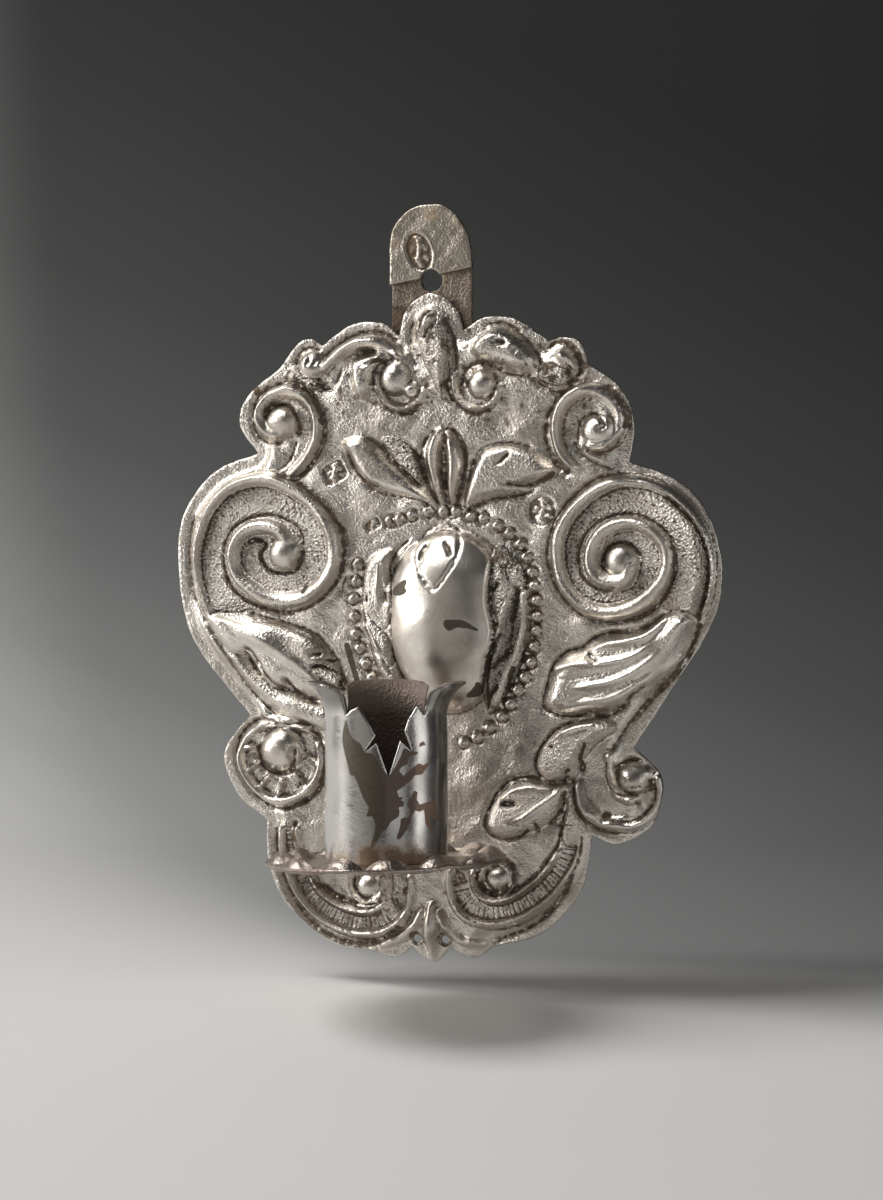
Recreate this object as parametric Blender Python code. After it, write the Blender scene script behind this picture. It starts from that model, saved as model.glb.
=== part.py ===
"""Wall sconce candle holder: an embossed sheet-silver back plate that hangs by a strap,
with a drip pan and a rolled candle socket carried in front of it on a bent strap arm.

Frame: the origin is the centre of the hanging hole on the wall plane. +X is to the right
of someone who faces the sconce, +Z is up, and the plate faces -Y. Lengths below are in
millimetres, and to_world() turns them into metres. "Height" is the distance of a surface
in front of the plate's flat rim, towards -Y.
"""

import math

import bmesh
import bpy
import numpy as np
from mathutils.geometry import delaunay_2d_cdt

MM = 0.001

# --- Hanger: a plain strap behind, and a round-topped tongue lapped over its upper end ---
STRAP_THICKNESS = 0.5
STRAP_HALF_WIDTH = 5.7
STRAP_TOP = 4.0
STRAP_BOTTOM = -17.0
TONGUE_THICKNESS = 0.45
TONGUE_HALF_WIDTH = 5.8
TONGUE_TOP = 10.0
SEAM_AT_CENTRE = 0.5  # the tongue's lower edge crosses the hole on a slant
SEAM_SLOPE = 0.17
HOLE_RADIUS = 1.45

# --- Back plate ---
GAP = 0.25  # left between pieces that are soldered face to face
SHEET = 0.45
RIM_FRONT = STRAP_THICKNESS + GAP + SHEET  # distance of the flat rim's front from the wall
RIM_WIDTH = 1.6
FIELD_RISE = 1.0  # how far the ground between the ornaments stands in front of the rim
FIELD_RAMP = 1.8
PLATE_LATTICE = 1.9  # spacing of the plate's surface points
OUTLINE_STEP = 1.7
PIERCED_HOLES = ((-1.8, -87.1), (2.2, -87.1))
PIERCED_RADIUS = 0.7

# --- Drip pan and socket ---
VIEW_TURN = math.radians(21.0)  # the socket's front notch is turned this far towards +X
AXIS_X = 0.95
AXIS_HEIGHT = 17.8
PAN_RADIUS = 15.4
PAN_TOP = -75.4
PAN_THICKNESS = 0.45
BOSS_COUNT = 12
BOSS_RING = 13.2
BOSS_RADIAL = 1.75
BOSS_ALONG = 2.1
BOSS_HEIGHT = 1.5
SOCKET_RADIUS = 7.8  # outside
SOCKET_WALL = 0.4
SOCKET_BEND_START = 19.3  # above the socket's foot
EAR_BEND_RADIUS = 2.6

PAN_RINGS = (5.0, 9.6, 11.5, 12.4, 13.2, 14.0, 14.9, PAN_RADIUS)  # radii of the pan's points
COLUMNS_PER_BOSS = 6

# --- Arm: up the plate, out under the pan, and a loop below the pan's front ---
ARM_WIDTH = 2.5
ARM_THICKNESS = 0.6
ARM_FOOT_TOP = -70.8
ARM_FOOT_HEIGHT = FIELD_RISE + GAP + 0.4
ARM_RUN_Z = PAN_TOP - PAN_THICKNESS - 0.7
ARM_BEND_RADIUS = 1.0
ARM_DROP_HEIGHT = 12.6
ARM_LOOP_BOTTOM = -82.0
ARM_LOOP_RADIUS = 1.85
ARM_LOOP_HEIGHT = 15.6
ARM_LEG_HEIGHTS = (17.6, 17.7)  # at the front leg's foot and at its top
ARM_LEG_FOOT = 1.2  # below the run under the pan
ARM_LEG_TOP = 0.35  # above it

# The plate's outline, anticlockwise from the left foot of the crown leaf. Each lobe is a
# smooth curve through its points, and neighbouring lobes meet in a notch or a corner.
OUTLINE = (
    ("left acanthus", ((-4.4, -7.3), (-6.8, -5.5), (-11.3, -5.6), (-15.5, -8.3))),
    ("left bud", ((-15.5, -8.3), (-17.1, -7.3), (-19.0, -7.9), (-21.9, -11.3))),
    ("upper left scroll", ((-21.9, -11.3), (-26.4, -14.7), (-27.6, -18.6), (-24.9, -22.5))),
    (
        "left side",
        ((-24.9, -22.5), (-31.3, -24.9), (-35.8, -30.3), (-36.8, -37.3), (-34.6, -47.5), (-26.1, -57.8)),
    ),
    ("lower left scroll", ((-26.1, -57.8), (-29.9, -62.9), (-27.9, -68.5), (-23.6, -71.8))),
    (
        "left foot",
        ((-23.6, -71.8), (-23.4, -77.3), (-20.8, -83.0), (-14.5, -87.9), (-7.6, -89.1)),
    ),
    ("left foot lobe", ((-7.6, -89.1), (-4.7, -89.7), (-2.6, -88.1))),
    ("pendant", ((-2.6, -88.1), (-1.1, -89.4), (0.3, -90.1), (1.6, -89.6), (2.7, -88.0))),
    ("right foot lobe", ((2.7, -88.0), (6.1, -89.4), (8.9, -87.8))),
    ("right foot", ((8.9, -87.8), (15.8, -85.7), (21.0, -80.0), (22.5, -72.8))),
    ("lower right scroll", ((22.5, -72.8), (26.1, -73.9), (30.9, -71.0), (32.1, -65.4), (28.2, -61.3))),
    (
        "right side",
        (
            (28.2, -61.3),
            (33.6, -53.3),
            (38.7, -45.2),
            (40.0, -38.5),
            (38.2, -31.5),
            (34.3, -27.1),
            (27.6, -24.5),
        ),
    ),
    ("upper right scroll", ((27.6, -24.5), (28.2, -19.6), (26.5, -15.0), (22.0, -11.7))),
    ("right bud", ((22.0, -11.7), (20.9, -8.8), (18.6, -8.1), (16.5, -8.5))),
    ("right acanthus", ((16.5, -8.5), (12.3, -5.7), (8.0, -5.1), (4.7, -6.8))),
    (
        "crown leaf",
        ((4.7, -6.8), (4.0, -4.5), (2.3, -2.6), (0.1, -1.7), (-1.7, -2.3), (-3.6, -4.1), (-4.4, -7.3)),
    ),
)

# Embossed forms: rounded bosses as (x, z, half width, half height, rise), and rounded ribs
# as (points, half width, rise). They stand on the ground between them.
BOSSES = (
    (3.3, -45.2, 7.6, 10.4, 5.0),  # the large egg-shaped boss in the middle
    (-20.6, -36.2, 2.9, 2.9, 2.6),  # the eyes of the big scrolls
    (27.0, -37.2, 2.9, 2.9, 2.6),
    (-21.2, -18.2, 2.4, 2.4, 1.8),  # the eyes of the upper scrolls
    (24.4, -20.6, 2.4, 2.4, 1.8),
    (-21.3, -63.0, 3.4, 3.4, 2.4),  # the eyes of the lower scrolls
    (28.0, -65.0, 2.8, 2.8, 2.0),
    (-6.6, -79.4, 2.2, 2.2, 1.6),  # the eyes of the scrolls at the foot
    (9.5, -78.4, 2.2, 2.2, 1.6),
    (-9.4, -10.6, 4.6, 3.0, 1.8),  # the acanthus curls beside the crown leaf
    (11.8, -10.4, 4.6, 3.0, 1.8),
    (0.3, -9.2, 3.0, 5.2, 1.4),  # the crown leaf
    (-21.0, -50.6, 9.5, 3.9, 2.6),  # the big leaves below the side scrolls
    (26.0, -50.8, 8.6, 4.4, 3.0),
    (21.5, -62.0, 4.8, 3.4, 2.2),
    (14.6, -69.8, 4.6, 3.2, 1.8),
    (-4.5, -24.0, 6.2, 2.2, 1.4),  # the palmette's side leaves and middle leaf
    (11.2, -26.4, 6.8, 2.2, 1.4),
    (2.5, -24.8, 2.0, 5.6, 1.6),
)
RIBS = (
    (
        (
            (-32.7, -44.0),
            (-33.4, -34.9),
            (-30.3, -28.8),
            (-24.0, -26.2),
            (-16.9, -27.9),
            (-12.8, -33.2),
            (-12.9, -39.0),
            (-16.8, -42.8),
            (-24.0, -42.1),
            (-27.0, -36.9),
        ),
        2.0,
        2.2,
    ),
    (
        (
            (35.7, -46.4),
            (37.8, -41.0),
            (37.6, -35.9),
            (34.9, -30.6),
            (30.7, -28.0),
            (25.6, -28.0),
            (20.9, -30.6),
            (18.7, -36.5),
            (20.1, -41.9),
            (24.6, -44.4),
            (31.0, -42.9),
            (33.2, -38.5),
        ),
        2.0,
        2.2,
    ),
    (((-20.5, -26.0), (-17.0, -22.6), (-16.4, -17.5), (-20.5, -14.4), (-24.6, -16.4)), 1.6, 1.5),
    (((22.6, -26.4), (19.6, -22.6), (19.6, -17.5), (23.6, -14.6), (26.6, -17.2)), 1.6, 1.5),
    (((-19.6, -72.6), (-17.2, -79.4), (-10.4, -85.4), (-3.2, -84.4), (-0.4, -80.6)), 1.6, 1.6),
    (((20.9, -72.4), (18.6, -78.3), (10.8, -83.8), (5.6, -82.5), (3.2, -79.4)), 1.6, 1.6),
)

# The ground is left plain where the arm's foot is soldered on: (low x, low z, high x, high z).
ARM_SEAT = (-1.2, -77.4, 3.2, -69.5)


def to_world(x, height, z):
    """A point given by its height in front of the plate's rim, in metres."""
    return (x * MM, -(RIM_FRONT + height) * MM, z * MM)


def make_material(name, colour, roughness):
    material = bpy.data.materials.new(name)
    material.use_nodes = True
    shader = material.node_tree.nodes["Principled BSDF"]
    shader.inputs["Base Color"].default_value = (*colour, 1.0)
    shader.inputs["Metallic"].default_value = 1.0
    shader.inputs["Roughness"].default_value = roughness
    return material


def add_object(name, verts, faces, material, smooth_angle=40.0):
    mesh = bpy.data.meshes.new(name)
    mesh.from_pydata(verts, [], faces)
    mesh.validate()
    mesh.shade_smooth()
    mesh.set_sharp_from_angle(angle=math.radians(smooth_angle))
    mesh.materials.append(material)
    obj = bpy.data.objects.new(name, mesh)
    bpy.context.scene.collection.objects.link(obj)
    return obj


def smooth_curve(points, step):
    """Points about step apart on a Catmull-Rom curve through the given ones."""
    p = np.array(points, dtype=float)
    p = np.vstack([2 * p[0] - p[1], p, 2 * p[-1] - p[-2]])
    out = []
    for i in range(1, len(p) - 2):
        count = max(1, round(float(np.linalg.norm(p[i + 1] - p[i])) / step))
        for t in np.arange(count) / count:
            a = 2 * p[i]
            b = p[i + 1] - p[i - 1]
            c = 2 * p[i - 1] - 5 * p[i] + 4 * p[i + 1] - p[i + 2]
            d = 3 * p[i] - p[i - 1] - 3 * p[i + 1] + p[i + 2]
            out.append(0.5 * (a + b * t + c * t * t + d * t**3))
    out.append(p[-2])
    return np.array(out)


def plate_outline():
    lobes = [smooth_curve(points, OUTLINE_STEP)[:-1] for _, points in OUTLINE]
    return np.vstack(lobes)


def circle(x, z, radius, count):
    angle = np.arange(count) * 2 * math.pi / count
    return np.column_stack([x + radius * np.cos(angle), z + radius * np.sin(angle)])


def distance_to_line(x, z, line, closed=False):
    """Each point's distance to a chain of straight segments."""
    starts = line if closed else line[:-1]
    ends = np.roll(line, -1, axis=0) if closed else line[1:]
    best = np.full(np.shape(x), np.inf)
    for (ax, az), (bx, bz) in zip(starts, ends):
        dx, dz = bx - ax, bz - az
        t = np.clip(((x - ax) * dx + (z - az) * dz) / max(dx * dx + dz * dz, 1e-12), 0, 1)
        best = np.minimum(best, np.hypot(x - ax - t * dx, z - az - t * dz))
    return best


def inside(x, z, loop):
    """True where a point lies inside a closed loop, by the crossings of a ray."""
    result = np.zeros(np.shape(x), dtype=bool)
    for (ax, az), (bx, bz) in zip(loop, np.roll(loop, -1, axis=0)):
        if az != bz:
            crosses = (az > z) != (bz > z)
            result ^= crosses & (x < (bx - ax) * (z - az) / (bz - az) + ax)
    return result


def relief(x, z, outline):
    """Height of the embossed front in front of the flat rim."""
    edge = distance_to_line(x, z, outline, closed=True)
    ramp = np.clip((edge - RIM_WIDTH) / FIELD_RAMP, 0, 1)
    ramp = ramp * ramp * (3 - 2 * ramp)
    ground = FIELD_RISE * ramp
    height = ground.copy()
    for bx, bz, half_width, half_height, rise in BOSSES:
        away = np.hypot((x - bx) / half_width, (z - bz) / half_height)
        height = np.maximum(height, ground + rise * ramp * np.sqrt(np.clip(1 - away**2, 0, 1)))
    for points, half_width, rise in RIBS:
        away = distance_to_line(x, z, smooth_curve(points, OUTLINE_STEP)) / half_width
        height = np.maximum(height, ground + rise * ramp * np.sqrt(np.clip(1 - away**2, 0, 1)))
    low_x, low_z, high_x, high_z = ARM_SEAT
    seat = (x > low_x) & (x < high_x) & (z > low_z) & (z < high_z)
    return np.where(seat, np.minimum(height, FIELD_RISE), height)


def sheet_triangles(loops, spacing):
    """Points and triangles that fill the first loop but not the others, as flat (x, z)."""
    outline = loops[0]
    low, high = outline.min(axis=0), outline.max(axis=0)
    rows = np.arange(low[1], high[1], spacing * math.sqrt(3) / 2)
    columns = np.arange(low[0], high[0], spacing)
    x = np.concatenate([columns + spacing / 2 * (i % 2) for i in range(len(rows))])
    z = np.repeat(rows, len(columns))
    keep = inside(x, z, outline)
    for loop in loops:
        keep &= distance_to_line(x, z, loop, closed=True) > 0.5 * spacing
    for loop in loops[1:]:
        keep &= ~inside(x, z, loop)
    points = np.vstack([*loops, np.column_stack([x, z])[keep]])
    edges, first = [], 0
    for loop in loops:
        count = len(loop)
        edges += [(first + i, first + (i + 1) % count) for i in range(count)]
        first += count
    verts, _, faces, _, _, _ = delaunay_2d_cdt([tuple(p) for p in points], edges, [], 1, 1e-6)
    verts = np.array([tuple(v) for v in verts])
    faces = np.array(faces)
    middle = verts[faces].mean(axis=1)
    for loop in loops[1:]:
        out = ~inside(middle[:, 0], middle[:, 1], loop)
        faces, middle = faces[out], middle[out]
    return verts, faces


def solid_sheet(verts, faces, front, back):
    """A closed solid between two heights, given for each point, over flat triangles."""
    used = np.unique(faces)
    number = np.full(len(verts), -1)
    number[used] = np.arange(len(used))
    verts, faces = verts[used], number[faces]
    front, back = front[used], back[used]
    count = len(verts)
    points = [to_world(x, h, z) for (x, z), h in zip(verts, front)]
    points += [to_world(x, h, z) for (x, z), h in zip(verts, back)]
    solid = []
    sides = {}
    for a, b, c in faces.tolist():
        area = np.cross(verts[b] - verts[a], verts[c] - verts[a])
        if area < 0:
            b, c = c, b
        solid += [(a, b, c), (c + count, b + count, a + count)]
        for edge in ((a, b), (b, c), (c, a)):
            sides[edge] = True
    for a, b in sides:
        if (b, a) not in sides:
            solid += [(b, a, a + count, b + count)]
    return points, solid


def build_backplate():
    outline = plate_outline()
    holes = [circle(x, z, PIERCED_RADIUS, 8) for x, z in PIERCED_HOLES]
    verts, faces = sheet_triangles([outline, *holes], PLATE_LATTICE)
    front = relief(verts[:, 0], verts[:, 1], outline)
    points, solid = solid_sheet(verts, faces, front, front - SHEET)
    material = make_material("plate_silver", (0.62, 0.60, 0.56), 0.34)
    return add_object("backplate", points, solid, material)


def flat_solid(name, loops, spacing, front, thickness, material):
    """A flat plate of the given outline and holes, its front at the given height."""
    verts, faces = sheet_triangles(loops, spacing)
    heights = np.full(len(verts), float(front))
    points, solid = solid_sheet(verts, faces, heights, heights - thickness)
    return add_object(name, points, solid, material, smooth_angle=30.0)


def seam_z(x):
    return SEAM_AT_CENTRE + SEAM_SLOPE * x


def tongue_outline():
    """Round top, straight sides, and a slanting lower edge with the hole's upper arc in it."""
    w = TONGUE_HALF_WIDTH
    top = [
        (w * math.cos(a), TONGUE_TOP - w + w * math.sin(a)) for a in np.linspace(0, math.pi, 17)
    ]
    # where the slanting edge meets the hole's circle
    slope2 = 1 + SEAM_SLOPE**2
    middle = -SEAM_SLOPE * SEAM_AT_CENTRE / slope2
    reach = math.sqrt(HOLE_RADIUS**2 * slope2 - SEAM_AT_CENTRE**2) / slope2
    left, right = middle - reach, middle + reach
    a_left = math.atan2(seam_z(left), left)
    a_right = math.atan2(seam_z(right), right)
    arc = [
        (HOLE_RADIUS * math.cos(a), HOLE_RADIUS * math.sin(a))
        for a in np.linspace(a_left, a_right, 13)
    ]
    return np.array([*top, (-w, seam_z(-w)), *arc, (w, seam_z(w))])


def build_hanger_tongue():
    material = make_material("tongue_silver", (0.58, 0.55, 0.50), 0.42)
    return flat_solid(
        "hanger_tongue", [tongue_outline()], 3.0, 0.0, TONGUE_THICKNESS, material
    )


def build_hanger_strap():
    w = STRAP_HALF_WIDTH
    outline = np.array(
        [(-w, STRAP_BOTTOM), (w, STRAP_BOTTOM), (w, STRAP_TOP), (-w, STRAP_TOP)]
    )
    hole = circle(0, 0, HOLE_RADIUS, 20)
    material = make_material("strap_silver", (0.50, 0.45, 0.40), 0.45)
    front = STRAP_THICKNESS - RIM_FRONT
    return flat_solid("hanger_strap", [outline, hole], 5.0, front, STRAP_THICKNESS, material)


def around_axis(radius, turn, z):
    """A point at a radius from the socket's axis. turn 0 is the socket's front notch."""
    angle = VIEW_TURN + turn
    x = AXIS_X + radius * math.sin(angle)
    height = AXIS_HEIGHT + radius * math.cos(angle)
    return to_world(x, height, z)


def shell_of_rings(outer, inner):
    """A closed solid from two matching grids of points, [ring][column], open top and foot."""
    rings, columns = len(outer), len(outer[0])
    points = [p for ring in outer for p in ring] + [p for ring in inner for p in ring]
    shift = rings * columns
    faces = []
    for i in range(rings - 1):
        for j in range(columns):
            a, b = i * columns + j, i * columns + (j + 1) % columns
            c, d = b + columns, a + columns
            faces += [(a, b, c), (a, c, d)]
            faces += [(shift + a, shift + c, shift + b), (shift + a, shift + d, shift + c)]
    last = (rings - 1) * columns
    for j in range(columns):
        k = (j + 1) % columns
        faces.append((k, j, shift + j, shift + k))
        faces.append((last + j, last + k, shift + last + k, shift + last + j))
    return points, faces


def pan_height(radius, turn):
    """Rise of the pan's surface: a ring of oval bosses near its edge."""
    pitch = 2 * math.pi / BOSS_COUNT
    off = (turn + pitch / 2) % pitch - pitch / 2
    away = math.hypot((radius - BOSS_RING) / BOSS_RADIAL, off * BOSS_RING / BOSS_ALONG)
    return BOSS_HEIGHT * math.cos(min(away, 1.0) * math.pi / 2) ** 1.5


def build_drip_pan():
    columns = BOSS_COUNT * COLUMNS_PER_BOSS
    mesh = bmesh.new()
    levels = []
    for drop in (0.0, PAN_THICKNESS):
        centre = mesh.verts.new(around_axis(0, 0, PAN_TOP - drop))
        rings = []
        for radius in PAN_RINGS:
            ring = []
            for j in range(columns):
                turn = 2 * math.pi * j / columns
                z = PAN_TOP - drop + pan_height(radius, turn)
                ring.append(mesh.verts.new(around_axis(radius, turn, z)))
            rings.append(ring)
        levels.append((centre, rings))
    for level, (centre, rings) in enumerate(levels):
        for j in range(columns):
            k = (j + 1) % columns
            quads = [(centre, rings[0][j], rings[0][k])]
            for low, high in zip(rings, rings[1:]):
                quads += [(low[j], high[j], high[k]), (low[j], high[k], low[k])]
            for quad in quads:
                mesh.faces.new(quad if level else quad[::-1])
    for j in range(columns):
        k = (j + 1) % columns
        top, bottom = levels[0][1][-1], levels[1][1][-1]
        mesh.faces.new((top[k], top[j], bottom[j], bottom[k]))
    bmesh.ops.recalc_face_normals(mesh, faces=mesh.faces[:])
    material = make_material("pan_silver", (0.55, 0.51, 0.46), 0.30)
    obj = add_object("drip_pan", [], [], material)
    mesh.to_mesh(obj.data)
    mesh.free()
    obj.data.shade_smooth()
    obj.data.set_sharp_from_angle(angle=math.radians(50))
    return obj


# The socket's sheet, cut to this height above its foot at each turn from the front notch,
# and how strongly the ear there is bent outwards. Both sides of the notch are alike.
SOCKET_CUT = (
    (0, 11.0, 0),
    (9, 13.8, 0),
    (18, 16.6, 0),
    (28, 19.6, 0),
    (35, 19.0, 0),
    (42, 18.5, 0.2),
    (46, 21.4, 0.8),
    (54, 22.6, 1),
    (66, 23.1, 1),
    (78, 23.2, 1),
    (90, 23.2, 1),
    (102, 23.2, 1),
    (114, 23.1, 1),
    (126, 22.6, 1),
    (133, 21.4, 0.8),
    (138, 18.5, 0.2),
    (143, 21.4, 0.8),
    (152, 22.8, 1),
    (162, 23.2, 1),
    (171, 23.2, 1),
    (180, 23.2, 1),
)
SOCKET_ROWS = (0, 0.42, 0.80, 0.84, 0.88, 0.92, 0.96, 1)


def socket_point(turn, up, ear, side):
    """A point on the socket's sheet, up along the sheet from its foot, bent out past the
    bend line. side is +1 on the outer face and -1 on the inner one."""
    radius = SOCKET_RADIUS - SOCKET_WALL / 2
    z = PAN_TOP + GAP + min(up, SOCKET_BEND_START)
    bend = max(0.0, up - SOCKET_BEND_START) * ear / EAR_BEND_RADIUS
    if bend > 1e-6:
        radius += EAR_BEND_RADIUS / ear * (1 - math.cos(bend))
        z += EAR_BEND_RADIUS / ear * math.sin(bend)
    else:
        z += max(0.0, up - SOCKET_BEND_START)
    radius += side * SOCKET_WALL / 2 * math.cos(bend)
    z -= side * SOCKET_WALL / 2 * math.sin(bend)
    return around_axis(radius, turn, z)


def build_candle_socket():
    half = list(SOCKET_CUT)
    other = [(-turn, up, ear) for turn, up, ear in half[1:-1]]
    columns = half + other[::-1]
    sides = {}
    for side in (1, -1):
        sides[side] = [
            [socket_point(math.radians(turn), row * up, ear, side) for turn, up, ear in columns]
            for row in SOCKET_ROWS
        ]
    points, faces = shell_of_rings(sides[1], sides[-1])
    material = make_material("socket_silver", (0.68, 0.66, 0.63), 0.25)
    return add_object("candle_socket", points, faces, material, smooth_angle=50.0)


def arm_path():
    """Centre line of the strap as (height, z)."""
    foot, run, bend = ARM_FOOT_HEIGHT, ARM_RUN_Z, ARM_BEND_RADIUS
    path = [(foot, ARM_FOOT_TOP), (foot, run + 1.1 * bend)]
    path += arc_points(foot + bend, run + bend, bend, 180, 270, 4)
    path += arc_points(ARM_DROP_HEIGHT, run - bend, bend, 90, 10, 4)
    loop_middle = ARM_LOOP_BOTTOM + ARM_LOOP_RADIUS
    path += arc_points(ARM_LOOP_HEIGHT, loop_middle, ARM_LOOP_RADIUS, 185, 355, 9)
    leg_foot, leg_top = ARM_LEG_HEIGHTS
    path += [(leg_foot, run - ARM_LEG_FOOT), (leg_top, run + ARM_LEG_TOP)]
    return path


def arc_points(height, z, radius, start, end, count):
    angles = np.radians(np.linspace(start, end, count))
    return [(height + radius * math.cos(a), z + radius * math.sin(a)) for a in angles]


def build_bracket_arm():
    """A strap of even width swept along its path, with a mitred rectangle at each point."""
    path = np.array(arm_path())
    along = np.gradient(path, axis=0)
    along /= np.linalg.norm(along, axis=1)[:, None]
    normal = np.column_stack([-along[:, 1], along[:, 0]])
    rings = []
    for (height, z), (nh, nz) in zip(path, normal):
        ring = []
        for across, out in ((-1, -1), (1, -1), (1, 1), (-1, 1)):
            offset = out * ARM_THICKNESS / 2
            x = AXIS_X + across * ARM_WIDTH / 2
            ring.append(to_world(x, height + nh * offset, z + nz * offset))
        rings.append(ring)
    mesh = bmesh.new()
    rings = [[mesh.verts.new(p) for p in ring] for ring in rings]
    for low, high in zip(rings, rings[1:]):
        for i in range(4):
            j = (i + 1) % 4
            mesh.faces.new((low[i], low[j], high[j], high[i]))
    mesh.faces.new(rings[0])
    mesh.faces.new(rings[-1])
    bmesh.ops.recalc_face_normals(mesh, faces=mesh.faces[:])
    material = make_material("arm_silver", (0.45, 0.42, 0.38), 0.42)
    obj = add_object("bracket_arm", [], [], material)
    mesh.to_mesh(obj.data)
    mesh.free()
    obj.data.shade_smooth()
    obj.data.set_sharp_from_angle(angle=math.radians(40))
    return obj


def main():
    for obj in list(bpy.data.objects):
        bpy.data.objects.remove(obj, do_unlink=True)
    build_hanger_strap()
    build_hanger_tongue()
    build_backplate()
    build_drip_pan()
    build_candle_socket()
    build_bracket_arm()


main()
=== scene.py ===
"""Looks of a small embossed-silver wall sconce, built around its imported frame.

The origin is the centre of the hanging hole on the wall plane, +X is to the right of someone
who faces the sconce, +Z is up, and the plate faces -Y. Tables are in millimetres. "Height"
is the distance of a surface in front of the plate's flat rim, towards -Y.
"""

import math

import bpy
import numpy as np
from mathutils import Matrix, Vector
from mathutils.geometry import delaunay_2d_cdt


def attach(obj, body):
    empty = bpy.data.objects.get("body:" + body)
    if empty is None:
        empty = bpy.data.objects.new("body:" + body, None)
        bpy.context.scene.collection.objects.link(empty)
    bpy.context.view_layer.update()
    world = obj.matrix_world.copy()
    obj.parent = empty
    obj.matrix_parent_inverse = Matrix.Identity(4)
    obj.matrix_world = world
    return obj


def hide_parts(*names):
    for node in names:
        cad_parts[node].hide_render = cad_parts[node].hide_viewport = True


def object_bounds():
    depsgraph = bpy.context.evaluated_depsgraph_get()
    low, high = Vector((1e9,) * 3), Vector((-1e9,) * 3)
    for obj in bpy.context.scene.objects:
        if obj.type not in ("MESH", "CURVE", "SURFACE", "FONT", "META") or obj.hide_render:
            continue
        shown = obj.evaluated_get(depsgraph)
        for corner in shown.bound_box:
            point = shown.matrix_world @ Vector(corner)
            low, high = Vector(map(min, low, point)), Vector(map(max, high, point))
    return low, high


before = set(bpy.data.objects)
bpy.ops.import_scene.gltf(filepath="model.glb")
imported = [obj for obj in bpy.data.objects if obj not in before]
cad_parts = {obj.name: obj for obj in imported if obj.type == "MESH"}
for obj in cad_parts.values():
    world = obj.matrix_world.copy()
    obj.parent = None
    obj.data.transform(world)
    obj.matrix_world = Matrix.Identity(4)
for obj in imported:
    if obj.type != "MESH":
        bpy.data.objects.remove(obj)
CAD_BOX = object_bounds()

MM = 0.001

# --- Sizes shared with the frame ---
STRAP_THICKNESS = 0.5
STRAP_HALF_WIDTH = 5.7
STRAP_TOP = 4.0
STRAP_BOTTOM = -17.0
TONGUE_THICKNESS = 0.66
TONGUE_HALF_WIDTH = 5.8
SEAM_AT_CENTRE = 0.5
SEAM_SLOPE = 0.17
HOLE_RADIUS = 1.45
GAP = 0.25
SHEET = 0.45
RIM_FRONT = STRAP_THICKNESS + GAP + SHEET
RIM_WIDTH = 1.5
FIELD_RISE = 1.0
FIELD_RAMP = 1.6
PIERCED_HOLES = ((-1.8, -87.1), (2.2, -87.1))
PIERCED_RADIUS = 0.54
VIEW_TURN = math.radians(21.0)
AXIS_X = 0.95
AXIS_HEIGHT = 17.8
PAN_RADIUS = 15.35
PAN_TOP = -75.4
PAN_THICKNESS = 0.45
BOSS_RING = 13.2
SOCKET_RADIUS = 7.8
SOCKET_WALL = 0.4
SOCKET_MIDDLE = SOCKET_RADIUS - SOCKET_WALL / 2  # radius at the middle of its wall
SEAM_TURN = 138
SOCKET_BEND_START = 18.2
EAR_BEND_RADIUS = 5.0
PAN_TILT = 0.028  # the pan's slope down to its left
PAN_DIP = 0.012  # and down to its front
ARM_WIDTH = 2.5
ARM_THICKNESS = 0.6
ARM_STEP = 0.25  # between the arm's cross-sections
ARM_FOOT_TOP = -70.8
ARM_RUN_Z = PAN_TOP - PAN_THICKNESS - 0.7
ARM_SEAT = (-1.2, -77.4, 3.2, -69.5)  # low x, low z, high x, high z

# --- Surface sampling ---
MAP_PITCH = 0.1
CURVE_STEP = 0.35
LATTICE = 0.465
EDGE_ROUND = 0.11  # rounding of the sheets' edges

# --- Stage and camera ---
FLOOR_Z = -93.1
FLOOR_SLOPE = 0.165  # the floor's fall towards the camera
FLOOR_DEPTH = 240  # from the plate back to the backdrop's curve
SWEEP_RADIUS = 340  # of the backdrop's curve
CAMERA_DISTANCE = 430
SENSOR_HEIGHT = 36.0  # height of the camera's sensor
CAMERA_TARGET = (1.63, -RIM_FRONT, -42.3)
PICTURE_TALL = 158.4  # height of the picture at the target
FLOOR_COLOUR = (0.80, 0.79, 0.775)
# The bright floor ends in a painted shadow behind the plate, sharply on the right, and further
# back and softly on the left. In metres along the backdrop's own axes.
BRIGHT_END = 0.022  # how far back it reaches in the middle
BRIGHT_SLANT = 0.42  # how much less for each step to the right
BRIGHT_BEND_AT = -0.009  # from here to the left
BRIGHT_BEND = 1.9  # it reaches back more
BRIGHT_SPREAD = 2.4  # and its edge is softer
BRIGHT_BLUR = 0.026  # softness of its edge on the right
# Painted shade on the backdrop by height, in metres, which it crosses on a slant:
# darker higher up and towards the right, where the light falls off.
SHADE_SLANT = 0.37
BACKDROP_PAINTED_SHADE = (
    (-0.140, 0.75), (-0.128, 0.62), (-0.112, 0.43), (-0.090, 0.28), (-0.062, 0.19), (-0.033, 0.125),
    (0.015, 0.078), (0.078, 0.050), (0.13, 0.036),
)
ROOM_COLOUR = (0.040, 0.039, 0.038, 1)
# Soft lights as (name, place, target, size, brightness, colour).
LIGHTS = (
    ("top", (-380, -230, 660), (0, 0, -60), (420, 400), 8.4, (1.0, 0.995, 0.985)),
    ("key", (-640, -320, 175), (0, 0, -50), (280, 360), 7.8, (1.0, 0.985, 0.96)),
    ("front", (-300, -780, 60), (0, 0, -50), (560, 420), 0.245, (1.0, 0.94, 0.86)),
    ("fill", (470, -560, 60), (0, 0, -50), (460, 420), 0.42, (1.0, 0.99, 0.98)),
    ("side", (640, -30, 60), (0, 0, -50), (270, 460), 1.15, (1.0, 0.99, 0.98)),
)

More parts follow.
